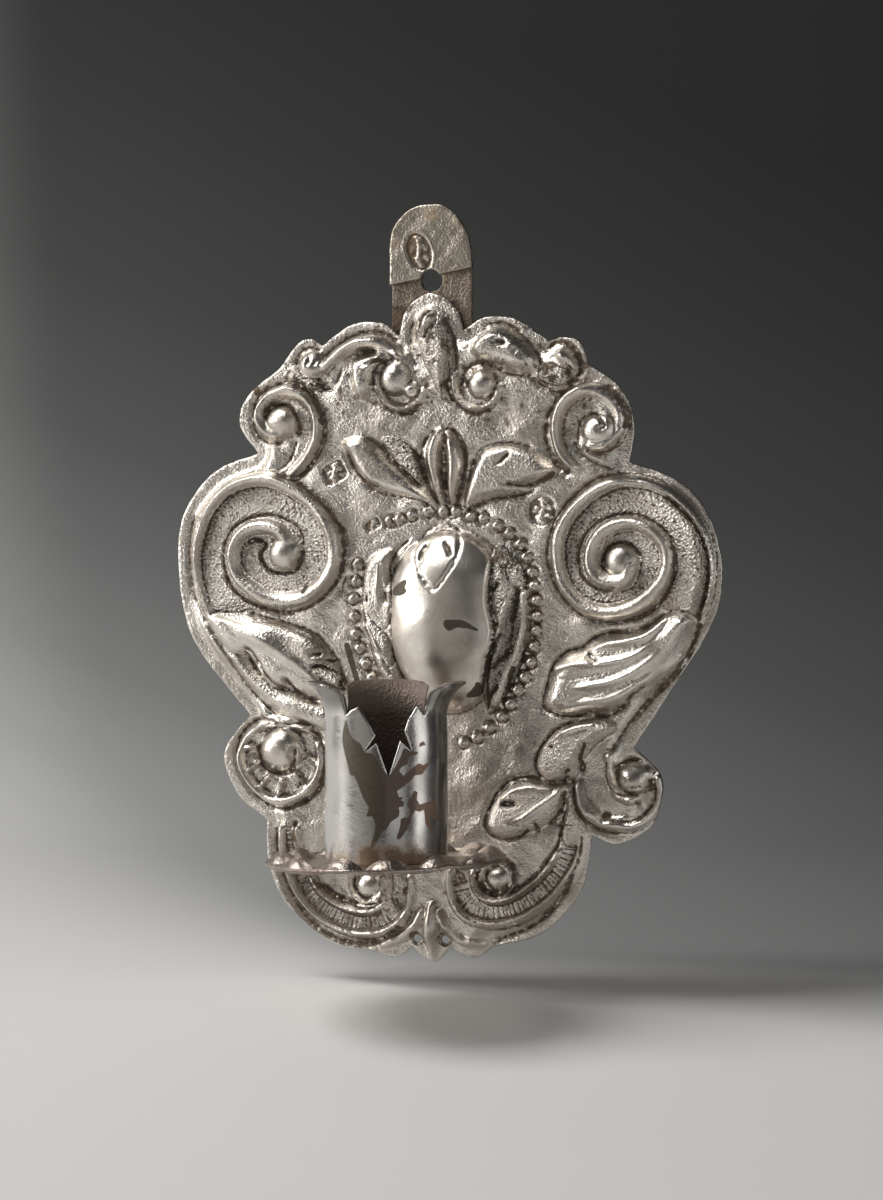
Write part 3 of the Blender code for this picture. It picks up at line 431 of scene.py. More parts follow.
# Chased lines: width, depth, darkness, path.
LINES = (
    # left scroll
    (0.34, 0.55, 1, ((-21, -25.6), (-18, -27), (-15.5, -28.8), (-13.5, -30.9), (-12.2, -33.2),
     (-11.8, -35.5), (-12, -38), (-13.1, -40.3), (-15, -42.2), (-17.5, -43.4), (-20.5, -43.9),
     (-23.5, -43.4), (-26, -42.4), (-28, -40.7), (-29.1, -38.9))),
    (0.26, 0.35, 0.7, ((-28.9, -38.9), (-29.3, -36.8), (-29, -34.5), (-27.7, -32.5), (-25.3, -31.2),
     (-22.3, -30.8), (-19.6, -31.7), (-18, -33), (-17.4, -35))),
    (0.32, 0.6, 1, ((-25.7, -34.6), (-24.7, -34.2), (-23.7, -34.4), (-23.1, -35), (-23.8, -36),
     (-23.5, -37.3), (-22.2, -38.5), (-20.3, -38.7), (-18.7, -38.2), (-17.9, -37), (-17.6, -35.5))),
    (0.14, 0.12, 0.3, ((-14.9, -29.8), (-13.3, -32.5), (-12.9, -35.5), (-13.2, -37.5), (-14.3, -39.4))),
    # left leaf
    (0.22, 0.4, 0.9, ((-25.7, -44), (-22, -44.9), (-18.5, -45.8), (-15.8, -47), (-14.1, -48.7),
     (-13, -50.3), (-12, -52.3), (-11.8, -54.5))),
    (0.18, 0.25, 0.7, ((-24.9, -44.9), (-21.4, -45.5), (-18, -46.6), (-15.5, -47.9), (-13.9, -49.6))),
    (0.36, 0.7, 1, ((-16, -49.5), (-14.6, -49.5))),
    (0.36, 0.7, 1, ((-14.3, -50.2), (-12.9, -50.6))),
    (0.18, 0.25, 0.7, ((-17.2, -50.9), (-16, -52), (-14.3, -53.2), (-12.2, -54.1))),
    (0.24, 0.5, 1, ((-26.1, -48.7), (-25.2, -49), (-24.1, -50.4), (-23, -52), (-21.8, -53.5),
     (-20.8, -54.3), (-19.5, -54.5))),
    (0.24, 0.45, 0.9, ((-26, -48.9), (-25.8, -50.2), (-24.9, -51.6), (-23.8, -52.4))),
    (0.38, 0.8, 1, ((-20.1, -52.7), (-19.4, -53.7), (-18.3, -54.9), (-16.8, -55.6), (-15.2, -55.8))),
    (0.16, 0.12, 0.35, ((-29.5, -46.3), (-27.5, -47.5), (-26, -48.3))),
    # left border
    (0.26, 0.35, 1, ((-34.4, -30.6), (-35, -33), (-35.2, -36.5), (-34.8, -39.9), (-33.8, -42.7),
     (-32.5, -45.2), (-30.4, -48.2), (-28.3, -51.3), (-25.8, -54.4), (-23, -56.9), (-20.8, -58.5))),
    (0.2, 0.25, 0.8, ((-33.7, -41.2), (-32.9, -43.5), (-31.6, -45.9), (-29.6, -48.9), (-27.5, -52),
     (-24.9, -55.1), (-22.5, -57.2))),
    # lower left
    (0.34, 0.55, 1, ((-15.8, -59.4), (-17.9, -58.8), (-20.4, -58.9), (-23.2, -58.2), (-25.6, -58.7),
     (-27.4, -60.2), (-28.1, -62.5), (-27.6, -65), (-25.9, -67.8), (-23.4, -69.8), (-20.9, -70.3),
     (-18.9, -69.7), (-16.4, -68.3), (-15, -66.2), (-14.6, -63.6), (-15.3, -61), (-16.6, -59.6))),
    (0.34, 0.6, 1, ((-24.5, -61.6), (-24.2, -63.5), (-23.4, -65), (-21.6, -65.6), (-19.8, -65.1),
     (-18.7, -63.8), (-18.4, -62))),
    (0.34, 0.5, 1, ((-18.1, -65.6), (-18.2, -67.2))),
    # left foot
    (0.45, 0.6, 1, ((-22.3, -72.8), (-22.2, -76), (-21.3, -79), (-19.8, -82.2), (-17.7, -84.9),
     (-14.9, -87), (-11.5, -88), (-8.5, -87.9), (-6.1, -86.9), (-3.7, -85.3))),
    (0.42, 0.6, 1, ((-19.2, -71.8), (-18.7, -75), (-17.5, -77.5), (-16.3, -79.5), (-14.3, -81.2),
     (-11.8, -82.4), (-9.3, -83), (-7.1, -82.6))),
    (0.3, 0.4, 0.9, ((-10.1, -78.8), (-10.2, -80.2), (-9.4, -81.4), (-8.3, -81.8), (-7.2, -81.1))),
    (0.5, 0.6, 1, ((-3.8, -78.8), (-4.1, -80.7), (-4.2, -83))),
    # right foot
    (0.4, 0.5, 1, ((7, -77.8), (7.2, -79.4), (8.2, -80.7), (10, -80.9), (11.5, -80.2), (12.3, -78.8),
     (11.9, -77.2), (10.7, -76.2))),
    (0.32, 0.55, 1, ((21.4, -72.8), (21.1, -75.2), (20.3, -77.4), (19, -79.9), (17.5, -82), (15.7, -83.9),
     (13.7, -85.2), (11.5, -86.1), (9.1, -87))),
    (0.34, 0.5, 1, ((19.4, -66.8), (19, -70), (18.5, -72.5), (17.9, -74.6), (16.7, -76.5), (15.3, -78.2),
     (13.3, -79.7), (11.3, -80.9))),
    (0.2, 0.3, 0.8, ((17.7, -71.3), (19.3, -71.5), (20.7, -71.4))),
    # right scroll
    (0.34, 0.55, 1, ((26.5, -25.8), (23, -26.8), (20.1, -28.9), (18.1, -31.3), (16.9, -34), (16.5, -36.4),
     (17, -38.8), (18.1, -41.2), (20, -43.3), (22, -44.6), (24.5, -45.1), (27.5, -44.9), (30, -44.1),
     (32.1, -42.6), (33.5, -40.6), (34.2, -38.3), (34.2, -36.3), (33.6, -34.6))),
    (0.3, 0.4, 0.8, ((33.8, -34.6), (32.3, -32.9), (29.9, -31.6), (27.2, -31.2), (24.5, -31.9),
     (22.3, -33.6), (21.2, -36), (21.3, -38.3), (22.5, -40.1), (24.7, -41.1), (26.7, -40.6))),
    (0.32, 0.6, 1, ((24.6, -38.2), (24.6, -37), (24.9, -36.1), (25.8, -35.2), (27.1, -34.9), (28.5, -35.4),
     (29.6, -36.6))),
    (0.14, 0.12, 0.3, ((30.6, -42.3), (32.6, -40.2), (33.6, -37.6), (33.5, -35.8))),
    # right leaf
    (0.28, 0.5, 1, ((32.7, -44.1), (30.7, -45.5), (28.5, -46.3), (25.1, -46.5), (22.9, -47.3),
     (21.3, -48.5), (19.5, -48.9), (18.1, -50), (17.2, -51.4), (16.6, -53.2), (16.1, -55), (16.1, -56.3),
     (17.5, -57), (19.5, -57.4), (21.5, -57.2), (23.1, -56.5))),
    (0.34, 0.5, 1, ((22.9, -57.3), (25.1, -57.3), (26.9, -56.2), (28.5, -54.6), (30.7, -53.1))),
    (0.34, 0.9, 1, ((22.5, -49.1), (23.4, -49.7), (24.2, -50.3))),
    (0.2, 0.15, 0.5, ((18.8, -52.6), (22.2, -52.3), (25.7, -51.4))),
    (0.2, 0.15, 0.5, ((20, -55.4), (23, -54.6), (26.5, -53.6))),
    # right border
    (0.36, 0.5, 1, ((33, -28.9), (36, -31.9), (37.4, -33.8), (38.3, -36.3), (38.5, -38.8), (38.2, -41),
     (37.4, -43.6), (36.8, -46), (35.8, -48.5), (34.2, -51), (31.8, -53.7), (29.8, -55.6), (28, -57.8),
     (26.4, -60), (25.4, -61.8))),
    (0.2, 0.2, 0.7, ((36.4, -48.3), (35, -50.7), (33, -53), (30.7, -55.2), (28.9, -57.2))),
    # right second
    (0.24, 0.45, 1, ((21.9, -57.9), (19.7, -58.3), (17.7, -59.3), (16.5, -60.5), (15.4, -62), (15, -63.8),
     (15.7, -65.2), (17.1, -65.9), (18.7, -65.8), (20.1, -65))),
    (0.32, 0.7, 1, ((16.8, -61.6), (18, -61.2))),
    (0.32, 0.6, 1, ((20.3, -64), (19.5, -64.9))),
    (0.34, 0.5, 1, ((22.4, -60.6), (21.6, -62.5), (21.5, -64.6))),
    # right third
    (0.28, 0.5, 1, ((16.3, -65.7), (13.7, -65.4), (11.7, -65.9), (10, -67.2), (8.8, -69), (8.1, -70.8),
     (8.1, -72.3), (9.3, -73.3), (11.3, -73.6), (12.9, -73.2), (14.4, -72.1))),
    (0.26, 0.45, 1, ((16.9, -71.6), (18.2, -70.2), (19.2, -68.6), (19.5, -66.9))),
    (0.42, 1, 1, ((10.5, -69), (12.9, -68.8))),
    (0.3, 0.5, 0.9, ((15.3, -71), (15.4, -72.6))),
    # lower right
    (0.3, 0.5, 1, ((20.3, -65.6), (20.6, -68.6), (21.7, -70.9), (23.7, -72.1), (26.1, -72.5))),
    (0.34, 0.5, 1, ((26, -64.3), (26.8, -63.3), (28.2, -62.9), (29.8, -63.8))),
    (0.3, 0.5, 1, ((24.9, -63), (25, -65.4), (26, -66.9), (27.6, -67.5), (29, -67.2))),
    (0.45, 0.6, 1, ((30.5, -65.2), (31.2, -66.4), (31.1, -68.1), (30, -69.7), (28.2, -70.8), (26.2, -70.8),
     (24.7, -70.2))),
    (0.42, 0.7, 1, ((24.3, -69.8), (24.9, -71))),
    (0.3, 0.4, 0.8, ((28.5, -66.5), (29.9, -66.2))),
    (0.4, 0.4, 0.8, ((28.7, -68.2), (29.5, -68.9))),
    # upper left
    (0.34, 0.55, 1, ((-19.2, -26.2), (-17.4, -24.9), (-15.7, -22.7), (-14.9, -20.4), (-15.1, -17.8),
     (-16.2, -15.5), (-17.6, -14), (-19.8, -13.2), (-22.6, -13.4))),
    (0.3, 0.45, 0.9, ((-22.7, -13.4), (-24.9, -14.8), (-25.7, -17.2), (-25.4, -19.4), (-24, -20.9),
     (-22.1, -21.3), (-20.7, -21))),
    (0.3, 0.5, 1, ((-23.2, -18), (-23.3, -16.9), (-22.1, -16.2), (-20.4, -16.2), (-19, -17.1),
     (-18.3, -18.6), (-18.6, -20.2))),
    (0.24, 0.4, 0.9, ((-18.9, -20.8), (-19.3, -22.3), (-20.1, -23.7), (-21.2, -24.8))),
    # left bud
    (0.24, 0.5, 1, ((-16.7, -10.1), (-16.7, -11.1))),
    (0.22, 0.4, 1, ((-15.7, -10.4), (-16, -11.2))),
    (0.26, 0.4, 0.9, ((-19.4, -10.9), (-18.9, -9.2), (-17.4, -8.4), (-15.8, -8.9))),
    # left acanthus
    (0.4, 0.6, 0.9, ((-9.5, -9.2), (-7.3, -9.3))),
    (0.45, 0.4, 0.7, ((-9, -11.1), (-6.4, -10.5))),
    # left berry
    (0.34, 0.5, 1, ((-7.3, -13.9), (-7.4, -12.2), (-6.5, -10.9), (-4.9, -10.3), (-3.5, -10.8))),
    (0.3, 0.45, 0.9, ((-7.3, -14.4), (-6.4, -16), (-4.8, -17.3), (-2.4, -17.4), (-0.8, -16.2))),
    # left acanthus
    (0.26, 0.4, 0.9, ((-15.4, -9.9), (-13.9, -8.6), (-11.7, -7.3), (-8.9, -6.5), (-6.3, -6.9),
     (-4.7, -8.2))),
    (0.34, 0.4, 0.9, ((-15.6, -14), (-13.6, -14), (-12.8, -12.6), (-12.3, -11.2))),
    (0.4, 0.4, 0.9, ((-0.6, -13.6), (0.3, -14.4))),
    # crown
    (0.26, 0.5, 1, ((1.4, -5.4), (0.9, -6.6), (-0.1, -7.8))),
    (0.24, 0.4, 0.9, ((2.2, -5), (3.3, -7.4), (3.9, -9.6), (4, -12.2))),
    (0.2, 0.3, 0.8, ((2.7, -7.8), (3.2, -10), (3.1, -12.4), (2.8, -14.2))),
    (0.4, 0.5, 1, ((2.8, -13.6), (3, -15), (3.5, -16.2))),
    (0.24, 0.4, 0.8, ((-2.4, -5), (-2.9, -7), (-2.6, -9.4), (-1.7, -11.6))),
    # right acanthus
    (0.36, 0.8, 1, ((10, -8.4), (11.6, -8.9))),
    (0.34, 0.3, 0.6, ((12.6, -9.4), (14, -10.8), (14.6, -12.2))),
    (0.26, 0.45, 1, ((8.1, -6), (10.1, -5.9), (11.9, -6.8), (13.9, -8.7), (15.3, -10.4), (15.9, -11.8))),
    (0.28, 0.5, 1, ((7.9, -11.2), (9.7, -12), (11.3, -12.7), (13.3, -13.1), (14.5, -13))),
    # right berry
    (0.36, 0.5, 1, ((4.9, -14.2), (4.9, -12.6), (6.1, -11.4), (7.9, -11.2), (9.5, -12.2))),
    (0.3, 0.5, 1, ((2.8, -13), (3.1, -15), (4.4, -16.8), (6.6, -17.8), (9, -17.2))),
    (0.4, 0.4, 0.9, ((5.4, -13.4), (5.7, -14.8))),
    # right bud
    (0.4, 0.5, 1, ((16.4, -9.6), (17.4, -8.7), (18.9, -8.8), (20.4, -10.2), (20.9, -12.2), (20.5, -13.4))),
    (0.28, 0.4, 0.9, ((14.6, -13.2), (16.2, -14.4), (18, -15.2), (19.6, -15.1))),
    # upper right
    (0.5, 0.6, 1, ((19.8, -26), (17.8, -24.6), (16.6, -22.4), (16.4, -19.8), (17.1, -17.4), (18.5, -15.6),
     (20.4, -14.4))),
    (0.5, 0.55, 1, ((24.4, -14.7), (26.1, -16.2), (27.2, -18.3), (27.2, -20.3))),
    (0.26, 0.45, 0.9, ((20.8, -21.8), (20.9, -20), (21.5, -18.7), (22.8, -18.1), (24.2, -18.7), (25, -19.9),
     (24.2, -20.3))),
    (0.3, 0.45, 1, ((20.3, -21.6), (20.9, -22.9), (22.1, -24), (23.7, -24.8), (25.5, -25.4))),
    (0.26, 0.4, 0.8, ((22, -22.8), (24.1, -23.3), (25.9, -22.4), (26.7, -21.2))),
    # palmette
    (0.3, 0.9, 1, ((2.5, -21.7), (2.2, -23), (2.1, -25.2), (2.5, -27.6), (2.9, -29.6))),
    (0.3, 0.5, 1, ((2.4, -19.6), (4, -20.4), (5, -22.4), (5.3, -24.4), (4.8, -27.2), (4, -29.6))),
    (0.26, 0.5, 1, ((1, -19.8), (-0.2, -20.9), (-1, -22.9), (-0.7, -25.2), (0.2, -27.6), (1.6, -29.9))),
    (0.3, 0.6, 1, ((11.9, -23), (10.4, -24.5))),
    (0.32, 0.6, 1, ((11.3, -27), (13.1, -27.4), (14.9, -27.1), (16.7, -26.3), (17.9, -25.5))),
    (0.26, 0.5, 1, ((5.6, -30.9), (7.1, -29.8), (8.7, -29.1), (10.7, -28.9), (12.9, -28.6), (14.9, -27.8))),
    (0.22, 0.3, 0.7, ((6.3, -24.8), (7.1, -22.9), (9, -21.9), (12, -21.8), (14.6, -22.4))),
    (0.32, 0.6, 1, ((-11.6, -22.6), (-10.7, -24.6), (-9.3, -26.1), (-7.7, -27), (-6.4, -27.3))),
    (0.22, 0.45, 0.9, ((-8.8, -27), (-7, -28), (-4, -28.6), (-1.4, -29), (0.4, -29.8))),
    (0.26, 0.4, 0.9, ((-8.7, -20.7), (-6.9, -21.9), (-4.9, -23.9), (-2.5, -26), (-0.7, -27.6))),
    (0.3, 0.4, 1, ((-1.9, -22.4), (-1.1, -24.2), (-0.5, -25.8))),
    (0.26, 0.4, 0.9, ((6.4, -23.6), (6, -25.2), (5.7, -26.8))),
    # boss
    (0.22, 0.4, 0.9, ((-2.5, -34.2), (-4, -35.4), (-4.8, -36.9), (-5, -38.6), (-4.6, -41), (-4.1, -43.2),
     (-4.4, -44.8), (-5.5, -46.2))),
    (0.2, 0.35, 0.8, ((-8.3, -41.6), (-8.2, -43.8), (-7.1, -45.4), (-5.5, -46.8), (-4.6, -48.4),
     (-4.5, -50), (-4.8, -51.2))),
    (0.2, 0.35, 0.8, ((-6.9, -49), (-5.8, -50.2), (-5, -51.6), (-3.7, -53.1))),
    (0.3, 0.5, 1, ((-5.7, -41.2), (-5.1, -42.8))),
    (0.26, 0.4, 1, ((-8.3, -41.4), (-8.3, -42.6))),
    (0.22, 0.4, 0.9, ((5.5, -33.8), (7.5, -34.7), (9.1, -36.2), (9.8, -38.2), (9.6, -40.6), (9.6, -42.6),
     (10.1, -44.4), (11, -45.9))),
    (0.22, 0.4, 1, ((11.1, -46.4), (10.2, -48.4), (9.5, -50.8), (8.9, -53.8), (8.6, -56.6))),
    (0.28, 0.5, 1, ((10.8, -40), (9.9, -41.4))),
    (0.3, 0.5, 1, ((13.1, -40.8), (12.9, -43), (12.2, -45.2))),
    (0.34, 0.5, 1, ((12.3, -48.6), (10.9, -50), (9.9, -51.4))),
    (0.4, 0.5, 1, ((12.4, -50.8), (11.6, -52.8), (11.5, -54.4))),
    (0.34, 0.5, 1, ((10.4, -53.2), (9.4, -54.6), (8.7, -56.4))),
    (0.2, 0.35, 0.7, ((1.6, -32.2), (-0.4, -33.4), (-1.1, -35), (-0.8, -36.6), (0, -37.8), (1, -39.6),
     (2.6, -41.1))),
    (0.2, 0.35, 0.7, ((3.2, -32.2), (4.8, -33.6), (5.5, -35.4), (5.2, -37.2), (4.2, -39.2), (2.7, -41.1))),
    (0.34, 0.5, 1, ((0.9, -35), (0.3, -36), (0.3, -37.4))),
    (0.3, 0.5, 1, ((3.3, -34.6), (4.1, -35.6), (4.7, -36.6))),
    # nick left of the beads
    (0.2, 0.2, 1, ((-10.9, -38.7), (-11.8, -39.4), (-12.5, -41.4))),
)

# Hatching beside a path: nearest and farthest reach (positive to its right), spacing,
# darkness, sideways shift, path.
HATCHES = (
    # left scroll
    (1, 3.4, 0.62, 0.3, -0.4, LEFT_SCROLL[2:16]),
    # left foot
    (-2.2, 0.1, 0.58, 0.85, 0, ((-20.6, -73), (-20.4, -75.5), (-19.5, -78.5), (-18.1, -81.2),
     (-15.8, -83.8), (-13, -85.4), (-10.2, -86.1), (-7.2, -85.9), (-5.1, -85), (-3.7, -83.5), (-3, -81.4))),
    # right foot
    (-0.1, 2.3, 0.62, 0.85, 0, ((20.8, -71.6), (20.3, -75), (19.3, -77.3), (18, -79.2), (16.4, -80.9),
     (15, -82), (13.1, -83.1), (10.9, -83.9), (8.5, -84.2), (6, -83.5), (4.3, -82), (3.6, -79.8))),
    # right scroll
    (-3.4, -1, 0.62, 0.3, -0.4, RIGHT_SCROLL[2:17]),
    # upper left scroll
    (-2.9, -0.5, 0.58, 0.55, -0.2, UPPER_LEFT_SCROLL[:9]),
    # upper right scroll
    (0.6, 2.9, 0.55, 0.55, -0.2, UPPER_RIGHT_SCROLL[:8]),
)

# Beads around the oval, from the left over the top to the right.
BEADS = (
    (-7.9, -52.6), (-8.8, -50.8), (-9.6, -48.7), (-10.2, -46.8), (-10.4, -44.5), (-10.5, -42.1),
    (-10.2, -39.8), (-9.9, -37.6), (-5.3, -31.8), (-4.0, -31.6), (-2.2, -31.1), (0.1, -30.6),
    (2.2, -30.7), (4.0, -30.6), (6.1, -31.2), (7.9, -31.5), (9.9, -32.6), (11.5, -33.6), (13.0, -35.0),
    (13.9, -36.7), (14.6, -38.7), (14.9, -40.5), (15.2, -42.4), (15.2, -44.5), (15.2, -46.3),
    (14.9, -48.4), (14.5, -50.4), (13.6, -52.3), (12.7, -54.0), (11.7, -55.9), (10.4, -57.5),
    (8.7, -59.0), (7.0, -60.3), (5.1, -61.0),
)
BEAD_RADIUS = 0.79

# The outer turns of the two big scrolls stand on a raised, punched ground.
SCROLL_GROUNDS = (
    (
        (-31.5, -45.0), (-33.4, -40.0), (-33.6, -34.5), (-31.0, -29.0), (-26.0, -26.0), (-19.5, -26.8),
        (-14.2, -31.0), (-12.6, -37.0), (-16.0, -42.2), (-21.0, -43.2), (-26.0, -43.6),
    ),
    (
        (36.6, -46.5), (38.6, -41.0), (38.6, -36.0), (35.0, -29.8), (28.0, -26.8), (21.5, -29.4),
        (18.2, -34.5), (19.0, -40.6), (24.6, -44.4), (31.0, -43.2), (34.6, -44.4),
    ),
)

# Dark sharp-edged tarnish on the plate.
STAINS = (
    ((4.2, -45.1), (5.4, -44.8), (7.0, -45.0), (8.4, -45.9), (9.4, -46.7), (7.8, -46.1),
     (6.0, -45.9), (4.8, -46.4)),
    ((-3.9, -41.0), (-3.0, -40.2), (-1.7, -39.6), (-1.3, -39.9), (-1.8, -40.8), (-1.2, -40.9), (-1.8, -41.6),
     (-3.2, -41.8), (-3.8, -41.6)),
    ((-4.8, -37.8), (-4.2, -38.1), (-3.7, -38.7), (-4.6, -38.9)),
    ((6.2, -55.0), (7.4, -53.8), (8.0, -52.8), (8.5, -54.0), (7.8, -54.9)),
    ((-11.9, -48.0), (-11.2, -47.9), (-9.6, -52.9), (-9.2, -53.4), (-10.2, -53.3), (-11.5, -49.8)),
    ((-17.2, -40.3), (-16.5, -40.2), (-16.7, -41.4), (-17.5, -41.5)),
    ((-9.2, -11.6), (-7.8, -10.4), (-6.2, -10.2), (-6.8, -10.9), (-9.0, -11.4)),
)

# Worn punch marks on the plate: middle, half sizes, turn, and how square they are.
STAMPS = (
    ((-13.3, -25.3), 1.7, 1.45, 0.5, 5),
    ((-7.8, -32.3), 1.15, 0.8, 0.5, 6),
    ((16.0, -30.7), 2.0, 2.1, 0.3, 2),
)

# Soft dark spots: middle, radius, strength. Those under the drip pan and beside the socket
# are painted shade; the others darken the plate in patches.
SHADE_AND_DARK_SPOTS = (
    ((13.0, -61.5), 4.2, 0.42),
    ((10.2, -64.8), 3.2, 0.36),
    ((-13.6, -66.0), 3.6, 0.40),
    ((11.2, -36.6), 2.0, 0.55),
    ((-8.6, -35.2), 2.0, 0.20),
    ((13.0, -27.0), 2.4, 0.22),
    ((-3.8, -19.0), 3.6, 0.22),
    ((9.0, -19.6), 3.2, 0.24),
    ((34.5, -54.0), 3.5, 0.22),
    ((-31.5, -53.0), 3.5, 0.18),
    ((-16.0, -80.5), 4.5, 0.42),
    ((-9.5, -84.5), 4.0, 0.42),
    ((14.0, -79.0), 4.5, 0.34),
    ((2.0, -81.0), 3.5, 0.3),
    ((-17.5, -71.0), 3.0, 0.4),
    ((-30.0, -27.5), 2.5, 0.16),
)

# Soft maps that colour a surface: tarnish (on the plate also painted shade in the hollows),
# punched ground, polish, darkening (in places painted shade and a painted reflection),
# sharp-edged patches and rust.
PAINT = ("oxide", "matt", "polish", "dim", "stain", "rust")


# ---------------------------------------------------------------- curves and sheets


def smooth_curve(points, step=CURVE_STEP, closed=False):
    """Points about step apart on a Catmull-Rom curve through the given ones."""
    p = np.array(points, dtype=float)
    if closed:
        p = np.vstack([p[-1], p, p[0], p[1]])
    else:
        p = np.vstack([2 * p[0] - p[1], p, 2 * p[-1] - p[-2]])
    out = []
    for i in range(1, len(p) - 2):
        count = max(1, round(float(np.linalg.norm(p[i + 1] - p[i])) / step))
        t = (np.arange(count) / count)[:, None]
        a = 2 * p[i]
        b = p[i + 1] - p[i - 1]
        c = 2 * p[i - 1] - 5 * p[i] + 4 * p[i + 1] - p[i + 2]
        d = 3 * p[i] - p[i - 1] - 3 * p[i + 1] + p[i + 2]
        out.append(0.5 * (a + b * t + c * t * t + d * t**3))
    if not closed:
        out.append(p[-2][None])
    return np.vstack(out)


def closed_line(loop):
    return np.vstack([loop, loop[:1]])


def inside(x, z, loop):
    """True where a point lies inside a closed loop, by the crossings of a ray."""
    result = np.zeros(np.broadcast(x, z).shape, dtype=bool)
    for (ax, az), (bx, bz) in zip(loop, np.roll(loop, -1, axis=0)):
        if az != bz:
            crosses = (az > z) != (bz > z)
            result ^= crosses & (x < (bx - ax) * (z - az) / (bz - az) + ax)
    return result


def circle(x, z, radius, count):
    angle = np.arange(count) * 2 * math.pi / count
    return np.column_stack([x + radius * np.cos(angle), z + radius * np.sin(angle)])


def spread(values, share):
    """The value at a share of the way along evenly spaced values."""
    return np.interp(share, np.linspace(0, 1, len(values)), values)


def ease(t):
    t = np.clip(t, 0, 1)
    return t * t * (3 - 2 * t)


def soften(values, radius, passes=2):
    """Box blur of a map, radius in cells."""
    width = 2 * radius + 1
    for _ in range(passes):
        for axis in (0, 1):
            pad = [(0, 0), (0, 0)]
            pad[axis] = (radius + 1, radius)
            total = np.cumsum(np.pad(values, pad, mode="edge"), axis=axis)
            high = np.take(total, np.arange(width, total.shape[axis]), axis=axis)
            low = np.take(total, np.arange(0, total.shape[axis] - width), axis=axis)
            values = (high - low) / width
    return values


def waves(x, z, seed, size, count=7):
    """A smooth hand-made unevenness, about -1 to 1, whose swells are about size apart."""
    random = np.random.default_rng(seed)
    total = 0
    for _ in range(count):
        turn = random.uniform(0, math.pi)
        pace = 2 * math.pi / (size * random.uniform(0.7, 1.5))
        along = x * math.cos(turn) + z * math.sin(turn)
        total = total + np.sin(along * pace + random.uniform(0, 2 * math.pi))
    return total / math.sqrt(count)


